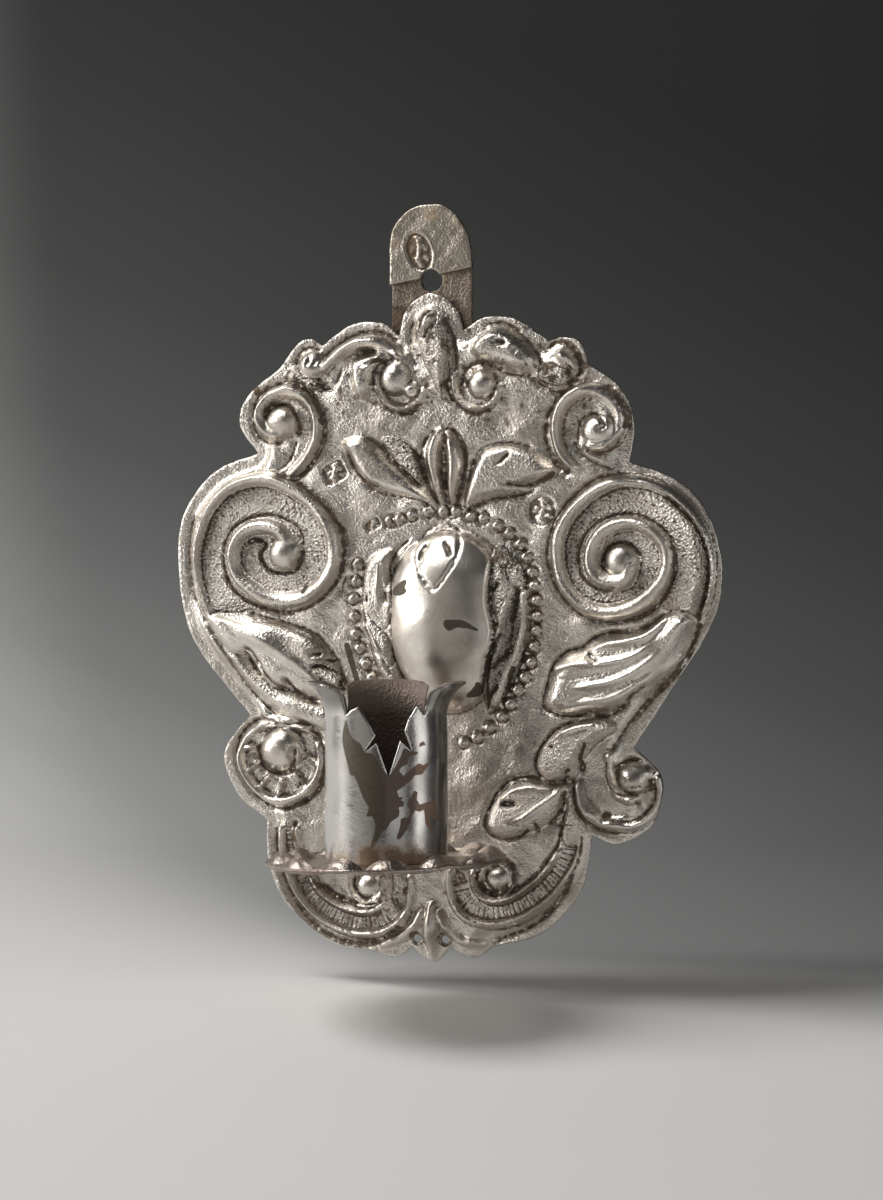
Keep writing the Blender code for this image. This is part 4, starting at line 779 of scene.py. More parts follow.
class Relief:
    """Height of a worked sheet above its rim, the ground that ornament stands on, and the
    sheet's paint, on a square grid in millimetres."""

    def __init__(self, low, high, pitch=MAP_PITCH):
        self.pitch = pitch
        self.x = np.arange(low[0], high[0] + pitch, pitch)
        self.z = np.arange(low[1], high[1] + pitch, pitch)
        shape = (self.z.size, self.x.size)
        self.ground = np.zeros(shape)
        self.height = np.zeros(shape)
        for name in PAINT:
            setattr(self, name, np.zeros(shape))

    def window(self, low, high):
        """Slices of the grid for a box."""
        slices = []
        for axis, start, end in ((self.z, low[1], high[1]), (self.x, low[0], high[0])):
            first = math.floor((start - axis[0]) / self.pitch)
            last = math.ceil((end - axis[0]) / self.pitch) + 1
            slices.append(slice(max(0, first), max(0, min(axis.size, last))))
        return tuple(slices)

    def points(self, window):
        return self.x[window[1]][None, :], self.z[window[0]][:, None]

    def trace(self, line, reach):
        """Around a line: the window, the distance from it up to reach, +1 left of its
        direction and -1 right, the length run along it, and its whole length."""
        window = self.window(line.min(axis=0) - reach, line.max(axis=0) + reach)
        x, z = self.points(window)
        away = np.full((z.size, x.size), float(reach))
        side = np.ones(away.shape)
        run = np.zeros(away.shape)
        so_far = 0.0
        for start, end in zip(line[:-1], line[1:]):
            step = end - start
            length = math.hypot(*step)
            if length < 1e-9:
                continue
            rows, columns = self.window(np.minimum(start, end) - reach, np.maximum(start, end) + reach)
            rows = slice(rows.start - window[0].start, rows.stop - window[0].start)
            columns = slice(columns.start - window[1].start, columns.stop - window[1].start)
            dx = x[:, columns] - start[0]
            dz = z[rows] - start[1]
            t = np.clip((dx * step[0] + dz * step[1]) / length**2, 0, 1)
            far = np.hypot(dx - t * step[0], dz - t * step[1])
            closer = far < away[rows, columns]
            away[rows, columns][closer] = far[closer]
            run[rows, columns][closer] = (so_far + t * length)[closer]
            side[rows, columns][closer] = np.where(step[0] * dz - step[1] * dx > 0, 1, -1)[closer]
            so_far += length
        return window, away, side, run, so_far

    def ridge(self, rises, left, right, points):
        """A rounded ridge that stands on the ground."""
        line = smooth_curve(points)
        window, away, side, run, length = self.trace(line, max(*left, *right) + self.pitch)
        share = run / length
        half = np.where(side > 0, spread(left, share), spread(right, share))
        near = np.clip(1 - away / half, 0, 1)
        top = self.ground[window] + spread(rises, share) * np.sin(near * math.pi / 2) ** 0.8
        higher = (near > 0) & (top > self.height[window])
        self.height[window][higher] = top[higher]
        self.matt[window][higher] *= 0.15
        self.polish[window][higher] = 0.45
        self.oxide[window][higher] = 0

    def dome(self, at, half_x, half_z, turn, rise):
        reach = max(half_x, half_z)
        window = self.window(np.subtract(at, reach), np.add(at, reach))
        x, z = self.points(window)
        c, s = math.cos(turn), math.sin(turn)
        u = ((x - at[0]) * c + (z - at[1]) * s) / half_x
        v = ((z - at[1]) * c - (x - at[0]) * s) / half_z
        top = self.ground[window] + rise * np.sqrt(np.clip(1 - u * u - v * v, 0, 1))
        higher = (u * u + v * v < 1) & (top > self.height[window])
        self.height[window][higher] = top[higher]
        self.matt[window][higher] = 0
        self.polish[window][higher] = 0.5
        self.oxide[window][higher] = 0

    def leaf(self, rise, edge, matt, points):
        """A raised shape with a rounded edge, laid over what is under it."""
        loop = smooth_curve(points, closed=True)
        window, away, *_ = self.trace(closed_line(loop), edge)
        within = inside(*self.points(window), loop)
        top = self.ground[window] + rise * np.sin(np.clip(away / edge, 0, 1) * math.pi / 2) ** 0.85
        self.height[window][within] = top[within]
        self.matt[window][within] = matt
        self.polish[window][within] = max(0.0, 0.35 - matt)
        self.oxide[window][within] = 0

    def line(self, width, depth, dark, points):
        """A chased line, cut a little unevenly, with tarnish in it."""
        line = smooth_curve(points)
        window, away, _, run, length = self.trace(line, 3 * width)
        uneven = 1 + 0.25 * np.sin(run * 4.1 + line[0, 0]) * np.sin(run * 1.7)
        ends = ease(np.minimum(run, length - run) / 0.6 + 0.35)
        self.height[window] -= 1.1 * depth * uneven * ends * np.exp(-((away / width) ** 2))
        x, z = self.points(window)
        broken = 0.85 + 0.22 * waves(x, z, 7, 1.1)
        shade = dark * ends * broken * np.exp(-((away / (0.66 * width)) ** 2))
        self.oxide[window] = np.maximum(self.oxide[window], shade)

    def hatch(self, near, far, spacing, dark, shift, points):
        """Short strokes across a band beside a line."""
        line = smooth_curve(np.add(points, (shift, 0)))
        window, away, side, run, _ = self.trace(line, max(abs(near), abs(far)) + 0.2)
        across = -away * side
        band = ease((across - near) / 0.3 + 0.5) * ease((far - across) / 0.3 + 0.5)
        phase = (run / spacing + 0.22 * np.sin(run * 2.3)) % 1 - 0.5
        cut = np.exp(-((phase * spacing / 0.13) ** 2)) * band
        self.height[window] -= 0.17 * cut
        self.oxide[window] = np.maximum(self.oxide[window], dark * cut)

    def patch(self, points):
        loop = smooth_curve(points, step=0.5, closed=True)
        window = self.window(loop.min(axis=0), loop.max(axis=0))
        within = inside(*self.points(window), loop)
        self.stain[window][within] = 1

    def paint(self, x, z):
        """The paint at points, by name."""
        return {name: self.sample(getattr(self, name), x, z) for name in PAINT}

    def sample(self, values, x, z):
        """Values of a map at points, between its cells."""
        u = np.clip((x - self.x[0]) / self.pitch, 0, self.x.size - 1.001)
        v = np.clip((z - self.z[0]) / self.pitch, 0, self.z.size - 1.001)
        i, j = u.astype(int), v.astype(int)
        u, v = u - i, v - j
        low = values[j, i] * (1 - u) + values[j, i + 1] * u
        high = values[j + 1, i] * (1 - u) + values[j + 1, i + 1] * u
        return low * (1 - v) + high * v


def distance_to_loop(x, z, loop):
    """Rough distance of scattered points from a loop: to its nearest point."""
    best = np.full(x.shape, np.inf)
    for px, pz in loop:
        best = np.minimum(best, np.hypot(x - px, z - pz))
    return best


def lattice(low, high, spacing):
    """Staggered rows of points, and which of them also belong to the twice coarser lattice."""
    rows = np.arange(low[1], high[1], spacing * math.sqrt(3) / 2)
    columns = np.arange(low[0], high[0], spacing)
    row = np.repeat(np.arange(len(rows)), len(columns))
    column = np.tile(np.arange(len(columns)), len(rows))
    x = columns[column] + spacing / 2 * (row % 2)
    z = rows[row]
    coarse = (row % 2 == 0) & ((column + (row // 2) % 2) % 2 == 0)
    return x, z, coarse


def sheet_triangles(loops, spacing, fine=None):
    """Points and triangles that fill the first loop but not the others, as flat (x, z). Where
    fine(x, z) is true the points stand at half the spacing."""
    outline = loops[0]
    low, high = outline.min(axis=0), outline.max(axis=0)
    if fine is None:
        x, z, _ = lattice(low, high, spacing)
        keep = np.ones(x.shape, dtype=bool)
    else:
        x, z, coarse = lattice(low, high, spacing / 2)
        keep = coarse | fine(x, z)
    keep[keep] &= inside(x[keep], z[keep], outline)
    clear = 0.3 * spacing
    for loop in loops:
        dense = loop if len(loop) < 60 else closed_line(loop)
        keep[keep] &= distance_to_loop(x[keep], z[keep], dense) > clear
    for loop in loops[1:]:
        keep[keep] &= ~inside(x[keep], z[keep], loop)
    points = np.vstack([*loops, np.column_stack([x, z])[keep]])
    edges, first = [], 0
    for loop in loops:
        count = len(loop)
        edges += [(first + i, first + (i + 1) % count) for i in range(count)]
        first += count
    verts, _, faces, _, _, _ = delaunay_2d_cdt([Vector(p) for p in points], edges, [], 1, 1e-6)
    verts = np.array([tuple(v) for v in verts])
    faces = np.array(faces)
    a, b, c = (verts[faces[:, i]] for i in range(3))
    area = (b[:, 0] - a[:, 0]) * (c[:, 1] - a[:, 1]) - (b[:, 1] - a[:, 1]) * (c[:, 0] - a[:, 0])
    faces[area < 0] = faces[area < 0][:, ::-1]
    middle = verts[faces].mean(axis=1)
    keep = inside(middle[:, 0], middle[:, 1], outline)
    for loop in loops[1:]:
        keep &= ~inside(middle[:, 0], middle[:, 1], loop)
    return verts, faces[keep], sum(len(loop) for loop in loops)


def pushed(loop, amount):
    """A closed anticlockwise loop moved outwards, or inwards where amount is negative."""
    along = np.roll(loop, -1, axis=0) - np.roll(loop, 1, axis=0)
    along /= np.linalg.norm(along, axis=1)[:, None] + 1e-9
    return loop + amount * np.column_stack([along[:, 1], -along[:, 0]])


def sheet_object(name, loops, spacing, fine, thickness, place, paint):
    """A sheet with rounded edges. place(x, z, depth) gives its points in metres, depth being
    0 on its front and thickness on its back, and paint(x, z, depth) its attributes."""
    edge = min(EDGE_ROUND, thickness / 2)
    signs = [-1] + [1] * (len(loops) - 1)
    narrow = [pushed(loop, sign * edge) for loop, sign in zip(loops, signs)]
    front = sheet_triangles(narrow, spacing, fine)
    back = sheet_triangles(narrow, max(1.4 * spacing, 0.5))
    outer = np.vstack(loops)
    flat = np.vstack([front[0], back[0], outer, outer])
    counts = [len(front[0]), len(back[0]), len(outer), len(outer)]
    depth = np.repeat([0, thickness, edge, thickness - edge], counts)
    starts = np.cumsum([0, *counts])
    faces = [front[1], back[1][:, ::-1] + starts[1]]
    first = 0
    for loop, sign in zip(loops, signs):
        i = first + np.arange(len(loop))
        j = first + (np.arange(len(loop)) + 1) % len(loop)
        i, j = (j, i) if sign < 0 else (i, j)
        for low, high in ((starts[0], starts[2]), (starts[2], starts[3]), (starts[3], starts[1])):
            strip = np.column_stack([i + low, j + low, j + high, i + high])
            faces.append(strip)
        first += len(loop)
    x, z = flat.T
    return mesh_object(name, place(x, z, depth), faces, paint(x, z, depth))


def to_world(x, height, z):
    return np.column_stack([x * MM, -(RIM_FRONT + height) * MM, z * MM])


def mesh_object(name, points, faces, attributes=None, sharp=50.0):
    """faces is a list of integer arrays, one row for each face."""
    mesh = bpy.data.meshes.new(name)
    mesh.from_pydata(points.tolist(), [], [f for part in faces for f in part.tolist()])
    mesh.validate()
    for key, values in (attributes or {}).items():
        layer = mesh.attributes.new(key, "FLOAT", "POINT")
        layer.data.foreach_set("value", np.ascontiguousarray(values, dtype=np.float32))
    mesh.shade_smooth()
    mesh.set_sharp_from_angle(angle=math.radians(sharp))
    obj = bpy.data.objects.new(name, mesh)
    bpy.context.scene.collection.objects.link(obj)
    return obj


def finish_piece(obj, node, material):
    obj.data.materials.append(material)
    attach(obj, "root")
    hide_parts(node)


# ---------------------------------------------------------------- materials


class Nodes:
    """A small writer of shader nodes for one material."""

    def __init__(self, name):
        self.material = bpy.data.materials.new(name)
        self.material.use_nodes = True
        self.tree = self.material.node_tree
        self.shader = self.tree.nodes["Principled BSDF"]
        self.place = self.node("ShaderNodeTexCoord").outputs["Object"]

    def node(self, kind, **settings):
        made = self.tree.nodes.new(kind)
        for key, value in settings.items():
            setattr(made, key, value)
        return made

    def feed(self, socket, value):
        if isinstance(value, bpy.types.NodeSocket):
            self.tree.links.new(value, socket)
        else:
            socket.default_value = value

    def math(self, operation, a, b=0.0, clamp=False):
        made = self.node("ShaderNodeMath", operation=operation, use_clamp=clamp)
        self.feed(made.inputs[0], a)
        self.feed(made.inputs[1], b)
        return made.outputs[0]

    def attribute(self, name):
        return self.node("ShaderNodeAttribute", attribute_name=name).outputs["Fac"]

    def noise(self, size, detail=3.0, rough=0.55, stretch=(1, 1, 1)):
        """Noise with features about size millimetres across."""
        mapped = self.node("ShaderNodeMapping")
        self.tree.links.new(self.place, mapped.inputs["Vector"])
        mapped.inputs["Scale"].default_value = stretch
        made = self.node("ShaderNodeTexNoise")
        self.tree.links.new(mapped.outputs[0], made.inputs["Vector"])
        made.inputs["Scale"].default_value = 1 / (size * MM)
        made.inputs["Detail"].default_value = detail
        made.inputs["Roughness"].default_value = rough
        return made.outputs["Fac"]

    def cells(self, size):
        """Distance from the middle of scattered cells about size millimetres across."""
        made = self.node("ShaderNodeTexVoronoi", feature="F1")
        self.tree.links.new(self.place, made.inputs["Vector"])
        made.inputs["Scale"].default_value = 1 / (size * MM)
        return made.outputs["Distance"]

    def ramp(self, value, low, high):
        """0 below low, 1 above high."""
        made = self.node("ShaderNodeMapRange", interpolation_type="SMOOTHSTEP")
        self.feed(made.inputs["Value"], value)
        made.inputs["From Min"].default_value = low
        made.inputs["From Max"].default_value = high
        return made.outputs["Result"]

    def mix(self, share, a, b):
        made = self.node("ShaderNodeMix", data_type="RGBA")
        self.feed(made.inputs["Factor"], share)
        self.feed(made.inputs["A"], a)
        self.feed(made.inputs["B"], b)
        return made.outputs["Result"]

    def bump(self, height, distance, strength=1.0, base=None):
        made = self.node("ShaderNodeBump")
        self.feed(made.inputs["Height"], height)
        made.inputs["Distance"].default_value = distance * MM
        self.feed(made.inputs["Strength"], strength)
        if base is not None:
            self.tree.links.new(base, made.inputs["Normal"])
        return made.outputs["Normal"]

    def finish(self, colour, metallic, roughness, normal):
        self.feed(self.shader.inputs["Base Color"], colour)
        self.feed(self.shader.inputs["Metallic"], metallic)
        self.feed(self.shader.inputs["Roughness"], roughness)
        self.tree.links.new(normal, self.shader.inputs["Normal"])
        return self.material


YELLOWED = (0.52, 0.43, 0.33, 1)
DIMMED = (0.11, 0.10, 0.09, 1)
GRIME_BLACK = (0.075, 0.055, 0.038, 1)
GRIME_BROWN = (0.150, 0.098, 0.056, 1)
STAIN_COLD = (0.062, 0.052, 0.036, 1)
STAIN_BROWN = (0.115, 0.075, 0.066, 1)
STAIN_RED = (0.27, 0.165, 0.115, 1)
STAIN_DUST = (0.30, 0.25, 0.20, 1)
RUST_PALE = (0.50, 0.38, 0.22, 1)
RUST_DARK = (0.17, 0.09, 0.04, 1)


def aged_silver(
    name,
    clean=(0.75, 0.705, 0.645),
    dull=(0.47, 0.415, 0.355),
    dullness=0.5,
    smooth=0.22,
    pits=0.5,
    swell=1.0,
    ground=0.08,
):
    """Silver with soft yellowish dullness and dark pits, and with the mesh's own paint:
    oxide, matt, polish, dim, stain with its warmth (warm), and rust. smooth is the roughness
    of the clean metal, swell scales its unevenness, and ground is the grit where it isn't
    polished."""
    n = Nodes(name)
    oxide = n.attribute("oxide")
    polish = n.attribute("polish")
    raw = n.math("SUBTRACT", 1.0, polish)
    matt = n.math("MAXIMUM", n.attribute("matt"), n.math("MULTIPLY", raw, ground))
    stained = n.attribute("stain")
    warm = n.attribute("warm")
    rusty = n.attribute("rust")
    clouds = n.noise(6.0, 5.0, 0.62)
    blotches = n.noise(1.6, 5.0, 0.65)
    fine = n.noise(0.45, 5.0, 0.62)
    grain = n.noise(0.13, 2.0, 0.5)
    cells = n.cells(0.34)
    worn = n.math("MULTIPLY", n.ramp(clouds, 0.38, 0.66), dullness)
    colour = n.mix(worn, (*clean, 1), (*dull, 1))
    yellow = n.math("MULTIPLY", n.ramp(blotches, 0.50, 0.72), 0.55 * dullness)
    colour = n.mix(yellow, colour, YELLOWED)
    # the dim map darkens the metal; among its uses are painted shade under the drip pan and beside the
    # socket, and a painted reflection on the socket's right flank
    colour = n.mix(n.attribute("dim"), colour, DIMMED)
    # tarnish, and on the plate painted shade, fill the hollows; grime fills the pits between punch marks,
    # and scattered specks
    uneven = n.math("SUBTRACT", fine, 0.5)
    speckle = n.math("MULTIPLY", uneven, 1.5)
    level = n.math("ADD", n.math("MULTIPLY", oxide, 1.15), speckle)
    level = n.math("ADD", level, n.math("MULTIPLY", matt, n.math("MULTIPLY", cells, 0.75)))
    level = n.math("ADD", level, n.math("MULTIPLY", n.ramp(blotches, 0.52, 0.75), 0.45 * pits))
    dark = n.math("MULTIPLY", n.ramp(level, 0.42, 0.78), 0.93)
    colour = n.mix(dark, colour, n.mix(n.ramp(blotches, 0.40, 0.62), GRIME_BLACK, GRIME_BROWN))
    # sharp-edged stains, from nearly black to reddish brown
    patch = n.ramp(n.math("ADD", stained, n.math("MULTIPLY", uneven, 0.5)), 0.46, 0.56)
    tint = n.mix(n.ramp(warm, 0.1, 0.45), STAIN_COLD, STAIN_BROWN)
    tint = n.mix(n.ramp(warm, 0.6, 0.95), tint, STAIN_RED)
    tint = n.mix(n.math("MULTIPLY", fine, 0.35), tint, STAIN_DUST)
    colour = n.mix(patch, colour, tint)
    # crumbly rust
    rust = n.math("ADD", n.math("MULTIPLY", rusty, 1.3), n.math("MULTIPLY", uneven, 1.4))
    rust = n.math("MULTIPLY", n.ramp(rust, 0.15, 1.35), 0.9)
    colour = n.mix(rust, colour, n.mix(rust, RUST_PALE, RUST_DARK))
    dark = n.math("MAXIMUM", dark, rust)
    covered = n.math("MAXIMUM", dark, patch)
    metallic = n.math("SUBTRACT", 1.0, n.math("MULTIPLY", covered, 0.55), clamp=True)
    rough = n.math("ADD", smooth, n.math("MULTIPLY", n.ramp(clouds, 0.3, 0.8), 0.10))
    rough = n.math("ADD", rough, n.math("MULTIPLY", n.math("MAXIMUM", matt, polish), 0.07))
    rough = n.math("ADD", rough, n.math("MULTIPLY", covered, 0.22))
    rough = n.math("ADD", rough, n.math("MULTIPLY", n.math("SUBTRACT", grain, 0.5), 0.12), clamp=True)
    # hammered swells, then punch marks, then fine scratches and corrosion
    normal = n.bump(n.noise(2.8, 2.0, 0.5), 0.26 * swell, n.math("MULTIPLY", raw, 0.55))
    normal = n.bump(blotches, 0.15 * swell, n.math("MULTIPLY", raw, 0.5), normal)
    stipple = n.math("MULTIPLY", n.math("ADD", cells, fine), matt)
    normal = n.bump(stipple, 0.42, 1.0, normal)
    gritty = n.math("ADD", n.math("MULTIPLY", raw, 0.38), 0.16)
    normal = n.bump(n.math("ADD", fine, n.math("MULTIPLY", grain, 0.6)), 0.10 * swell, gritty, normal)
    return n.finish(colour, metallic, rough, normal)


# ---------------------------------------------------------------- back plate


def plate_loop():
    lobes = [smooth_curve(points, 0.45)[:-1] for points in OUTLINE]
    loop = np.vstack(lobes)
    run = np.arange(len(loop))
    wobble = 0.045 * np.sin(run * 0.83) * np.sin(run * 0.31 + 1)
    outward = loop - np.roll(loop, 4, axis=0)
    outward = np.column_stack([outward[:, 1], -outward[:, 0]])
    outward /= np.linalg.norm(outward, axis=1)[:, None]
    loop = loop + outward * wobble[:, None]
    loop[:, 0] = np.clip(loop[:, 0], CAD_BOX[0][0] / MM, CAD_BOX[1][0] / MM)
    return loop


def paint_ground(relief, loop):
    """The flat rim, the rise to the field, and the field's hammered unevenness."""
    line = closed_line(loop)
    reach = RIM_WIDTH + FIELD_RAMP
    window, away, *_ = relief.trace(line[::2], reach)
    edge = np.full(relief.height.shape, reach)
    edge[window] = away
    ramp = ease((edge - RIM_WIDTH) / FIELD_RAMP)
    x, z = relief.x[None, :], relief.z[:, None]
    relief.ground[:] = FIELD_RISE * ramp + 0.10 * ramp * waves(x, z, 3, 7.0)
    relief.height[:] = relief.ground + 0.035 * waves(x, z, 5, 2.6) * ramp
    relief.height += 0.05 * waves(x, z, 9, 6.0) * (1 - ramp)
    return ramp


def paint_boss(relief):
    """The large egg-shaped boss, framed by beads."""
    at, half_x, half_z, rise = (3.5, -45.2), 8.9, 12.0, 5.2
    window = relief.window((at[0] - half_x, at[1] - half_z), (at[0] + half_x, at[1] + half_z))
    x, z = relief.points(window)
    u = (x - at[0]) / (half_x * (1 - 0.010 * (at[1] - z)))
    v = (z - at[1]) / half_z
    away = np.clip(1 - u * u - v * v, 0, 1)
    top = relief.ground[window] + rise * away**0.52
    relief.height[window] = np.maximum(relief.height[window], top)
    relief.ground[window] += 0.55 * (top - relief.ground[window]) * (away > 0)
    relief.polish[window] = np.where(away > 0, 0.85, relief.polish[window])


def paint_plate():
    loop = plate_loop()
    relief = Relief((-38.5, -91.5), (41.5, -0.5))
    paint_ground(relief, loop)
    for points in SCROLL_GROUNDS:
        relief.leaf(0.75, 2.5, 0.7, points)
    for row in HATCHES:
        relief.hatch(*row)
    paint_boss(relief)
    for row in LEAVES:
        relief.leaf(*row)
    for row in RIDGES:
        relief.ridge(*row)
    for points in PETALS:
        relief.ridge((1.2, 1), (0.38,), (0.38,), points)
    for row in DOMES:
        relief.dome(*row)
    for x, z in BEADS:
        size = BEAD_RADIUS * (1 + 0.09 * math.sin(7 * x + 3 * z))
        relief.dome((x, z), size, size, 0, 0.95)
    relief.height = soften(relief.height, 1)
    for row in LINES:
        relief.line(*row)
    for x, z in BEADS:
        ring = circle(x, z, BEAD_RADIUS + 0.10, 14)
        relief.line(0.22, 0.24, 0.85, closed_line(ring))
    for at, half_x, half_z, turn, square in STAMPS:
        stamp(relief, at, half_x, half_z, turn, square, 0.75)
    # Painted shade: a dark raised ring round each pierced hole, which makes the hole read dark.
    for x, z in PIERCED_HOLES:
        ring = circle(x, z, PIERCED_RADIUS + 0.3, 14)
        relief.line(0.3, -0.15, 0.9, closed_line(ring))
    for points in STAINS:
        relief.patch(points)
    relief.stain = soften(relief.stain, 2, 1)
    low_x, low_z, high_x, high_z = ARM_SEAT
    window = relief.window((low_x, low_z), (high_x, high_z))
    relief.height[window] = np.minimum(relief.height[window], FIELD_RISE)
    # Darkening in the hollows, put into the oxide map: partly tarnish, partly painted shade along the feet
    # of the relief.
    hollow = soften(relief.height, 3) - relief.height
    grime = np.clip(hollow * 5.0 - 0.24, 0, 0.62)
    relief.oxide = np.maximum(relief.oxide, grime)
    paint_dirt_and_shade(relief)
    relief.height = soften(relief.height, 1, 1)
    return relief, loop


def paint_dirt_and_shade(relief):
    """Rough corroded skin round the crown's leaves, and soft dark spots: painted shade under the
    drip pan and beside the socket, and darker patches elsewhere on the plate.
    """
    x, z = relief.x[None, :], relief.z[:, None]
    crown = ease((z + 25) / 9)
    uneven = waves(x, z, 13, 2.3) + 0.6 * waves(x, z, 14, 1.1)
    bare = 1 - relief.polish
    relief.oxide = np.maximum(relief.oxide, crown * bare * np.clip(0.20 + 0.26 * uneven, 0, 0.58))
    relief.matt = np.maximum(relief.matt, 0.12 * crown * bare)
    # painted shade under the drip pan and beside the socket, and darker patches elsewhere
    for at, radius, strength in SHADE_AND_DARK_SPOTS:
        away = np.hypot(x - at[0], z - at[1]) / radius
        spot = strength * np.exp(-(away**2)) * bare * np.clip(1 + 0.35 * uneven, 0, 1.5)
        relief.oxide = np.maximum(relief.oxide, 0.6 * spot)
        relief.dim = np.maximum(relief.dim, spot)


def plate_detail(relief):
    """A map that is high where the surface needs closely spaced points."""
    h = relief.height
    bend = np.zeros(h.shape)
    bend[1:-1, 1:-1] = np.abs(h[2:, 1:-1] + h[:-2, 1:-1] + h[1:-1, 2:] + h[1:-1, :-2] - 4 * h[1:-1, 1:-1])
    edge = np.zeros(h.shape)
    edge[:, 1:] += np.abs(np.diff(relief.stain, axis=1)) * 0.05
    edge[1:] += np.abs(np.diff(relief.stain, axis=0)) * 0.05
    return soften(bend + edge, 2)


def build_plate():
    relief, loop = paint_plate()
    detail = plate_detail(relief)
    hidden = soften(relief.height, 3)
    holes = [circle(x, z, PIERCED_RADIUS, 20) for x, z in PIERCED_HOLES]

    def fine(x, z):
        return relief.sample(detail, x, z) > 0.0028

    def place(x, z, depth):
        share = depth / SHEET
        front = relief.sample(relief.height, x, z)
        back = relief.sample(hidden, x, z)
        return to_world(x, front * (1 - share) + back * share - depth, z)

    def paint(x, z, depth):
        grime = 0.17 + 0.06 * waves(x, z, 21, 14.0) - 0.05 * waves(x, z, 22, 5.0)
        behind = {"oxide": grime, "matt": 0.12}
        front = depth < SHEET
        painted = relief.paint(x, z)
        return {name: np.where(front, painted[name], behind.get(name, 0)) for name in PAINT}

    obj = sheet_object("plate", [loop, *holes], LATTICE, fine, SHEET, place, paint)
    material = aged_silver("plate silver", clean=(0.79, 0.745, 0.685), pits=0.6)
    finish_piece(obj, "backplate", material)


# ---------------------------------------------------------------- hanger


def hanger_piece(name, node, loops, relief, front, thickness, material):
    """A flat worked sheet whose front stands at the given height."""

    def place(x, z, depth):
        share = depth / thickness
        return to_world(x, front + relief.sample(relief.height, x, z) * (1 - share) - depth, z)

    def paint(x, z, depth):
        values = relief.paint(x, z)
        shown = depth < thickness
        values["oxide"] = np.where(shown, values["oxide"], 0.2 + 0.08 * waves(x, z, 33, 7.0))
        values["rust"] = np.where(shown, values["rust"], 0)
        return values

    obj = sheet_object(name, loops, LATTICE, lambda x, z: z > -8, thickness, place, paint)
    finish_piece(obj, node, material)


def stamp(relief, at, half_x, half_z, turn, square=2, dark=0.9):
    """A punched oval, or a rounded rectangle where square is more than 2, with a raised
    border and a worn, unreadable sprig inside."""
    x, z = relief.x[None, :] - at[0], relief.z[:, None] - at[1]
    c, s = math.cos(turn), math.sin(turn)
    u = (x * c + z * s) / half_x
    v = (z * c - x * s) / half_z
    away = (np.abs(u) ** square + np.abs(v) ** square) ** (1 / square)
    floor = ease((1.04 - away) / 0.16)
    stem = np.exp(-(((u - 0.25 * np.sin(3.2 * v)) / 0.22) ** 2))
    twigs = np.exp(-(((np.abs(u) - 0.45 - 0.15 * np.cos(9 * v)) / 0.20) ** 2))
    twigs = twigs * (np.sin(11 * v + 2 * u) > -0.3)
    sprig = np.clip(stem + 0.8 * twigs, 0, 1) * (away < 0.82)
    relief.height += -0.24 * floor + 0.22 * floor * sprig
    relief.oxide = np.maximum(relief.oxide, dark * floor * (1 - 0.9 * sprig))
    relief.height += 0.05 * np.exp(-(((away - 1.12) / 0.1) ** 2))


def build_tongue():
    relief = Relief((-6.5, -2.5), (6.5, 10.6), 0.05)
    x, z = relief.x[None, :], relief.z[:, None]
    relief.height += 0.035 * waves(x, z, 41, 3.4) + 0.012 * waves(x, z, 42, 1.3)
    relief.matt += 0.08
    stamp(relief, (-1.6, 3.8), 1.75, 2.7, math.radians(22))
    for at, radius, strength in TONGUE_SPOTS:
        away = np.hypot(x - at[0], z - at[1]) / radius
        relief.rust = np.maximum(relief.rust, strength * np.exp(-(away**2)))
    for line in TONGUE_SCRATCHES:
        relief.line(0.07, 0.05, 0.6, line)
    seam = [(a, SEAM_AT_CENTRE + SEAM_SLOPE * a) for a in (-TONGUE_HALF_WIDTH, TONGUE_HALF_WIDTH)]
    top = smooth_curve(TONGUE_EDGE, 0.3)
    top[:, 1] = np.minimum(top[:, 1], CAD_BOX[1][2] / MM)
    # the hole's upper arc, between the two places where the seam meets it
    left = math.atan2(-1.45 * SEAM_SLOPE + SEAM_AT_CENTRE, -1.43)
    right = math.atan2(1.4 * SEAM_SLOPE + SEAM_AT_CENTRE, 1.25)
    angles = np.linspace(left, right, 16)
    arc = HOLE_RADIUS * np.column_stack([np.cos(angles), np.sin(angles)])
    low_left = smooth_curve([seam[0], tuple(arc[0])], 0.3)
    low_right = smooth_curve([tuple(arc[-1]), seam[1]], 0.3)
    loop = np.vstack([top[:-1], low_left[:-1], arc[:-1], low_right[:-1]])
    look = {"clean": (0.53, 0.485, 0.42), "dull": (0.37, 0.32, 0.26), "dullness": 1.0, "pits": 0.8}
    material = aged_silver("tongue silver", smooth=0.3, swell=0.55, **look)
    hanger_piece("tongue", "hanger_tongue", [loop], relief, 0.0, TONGUE_THICKNESS, material)


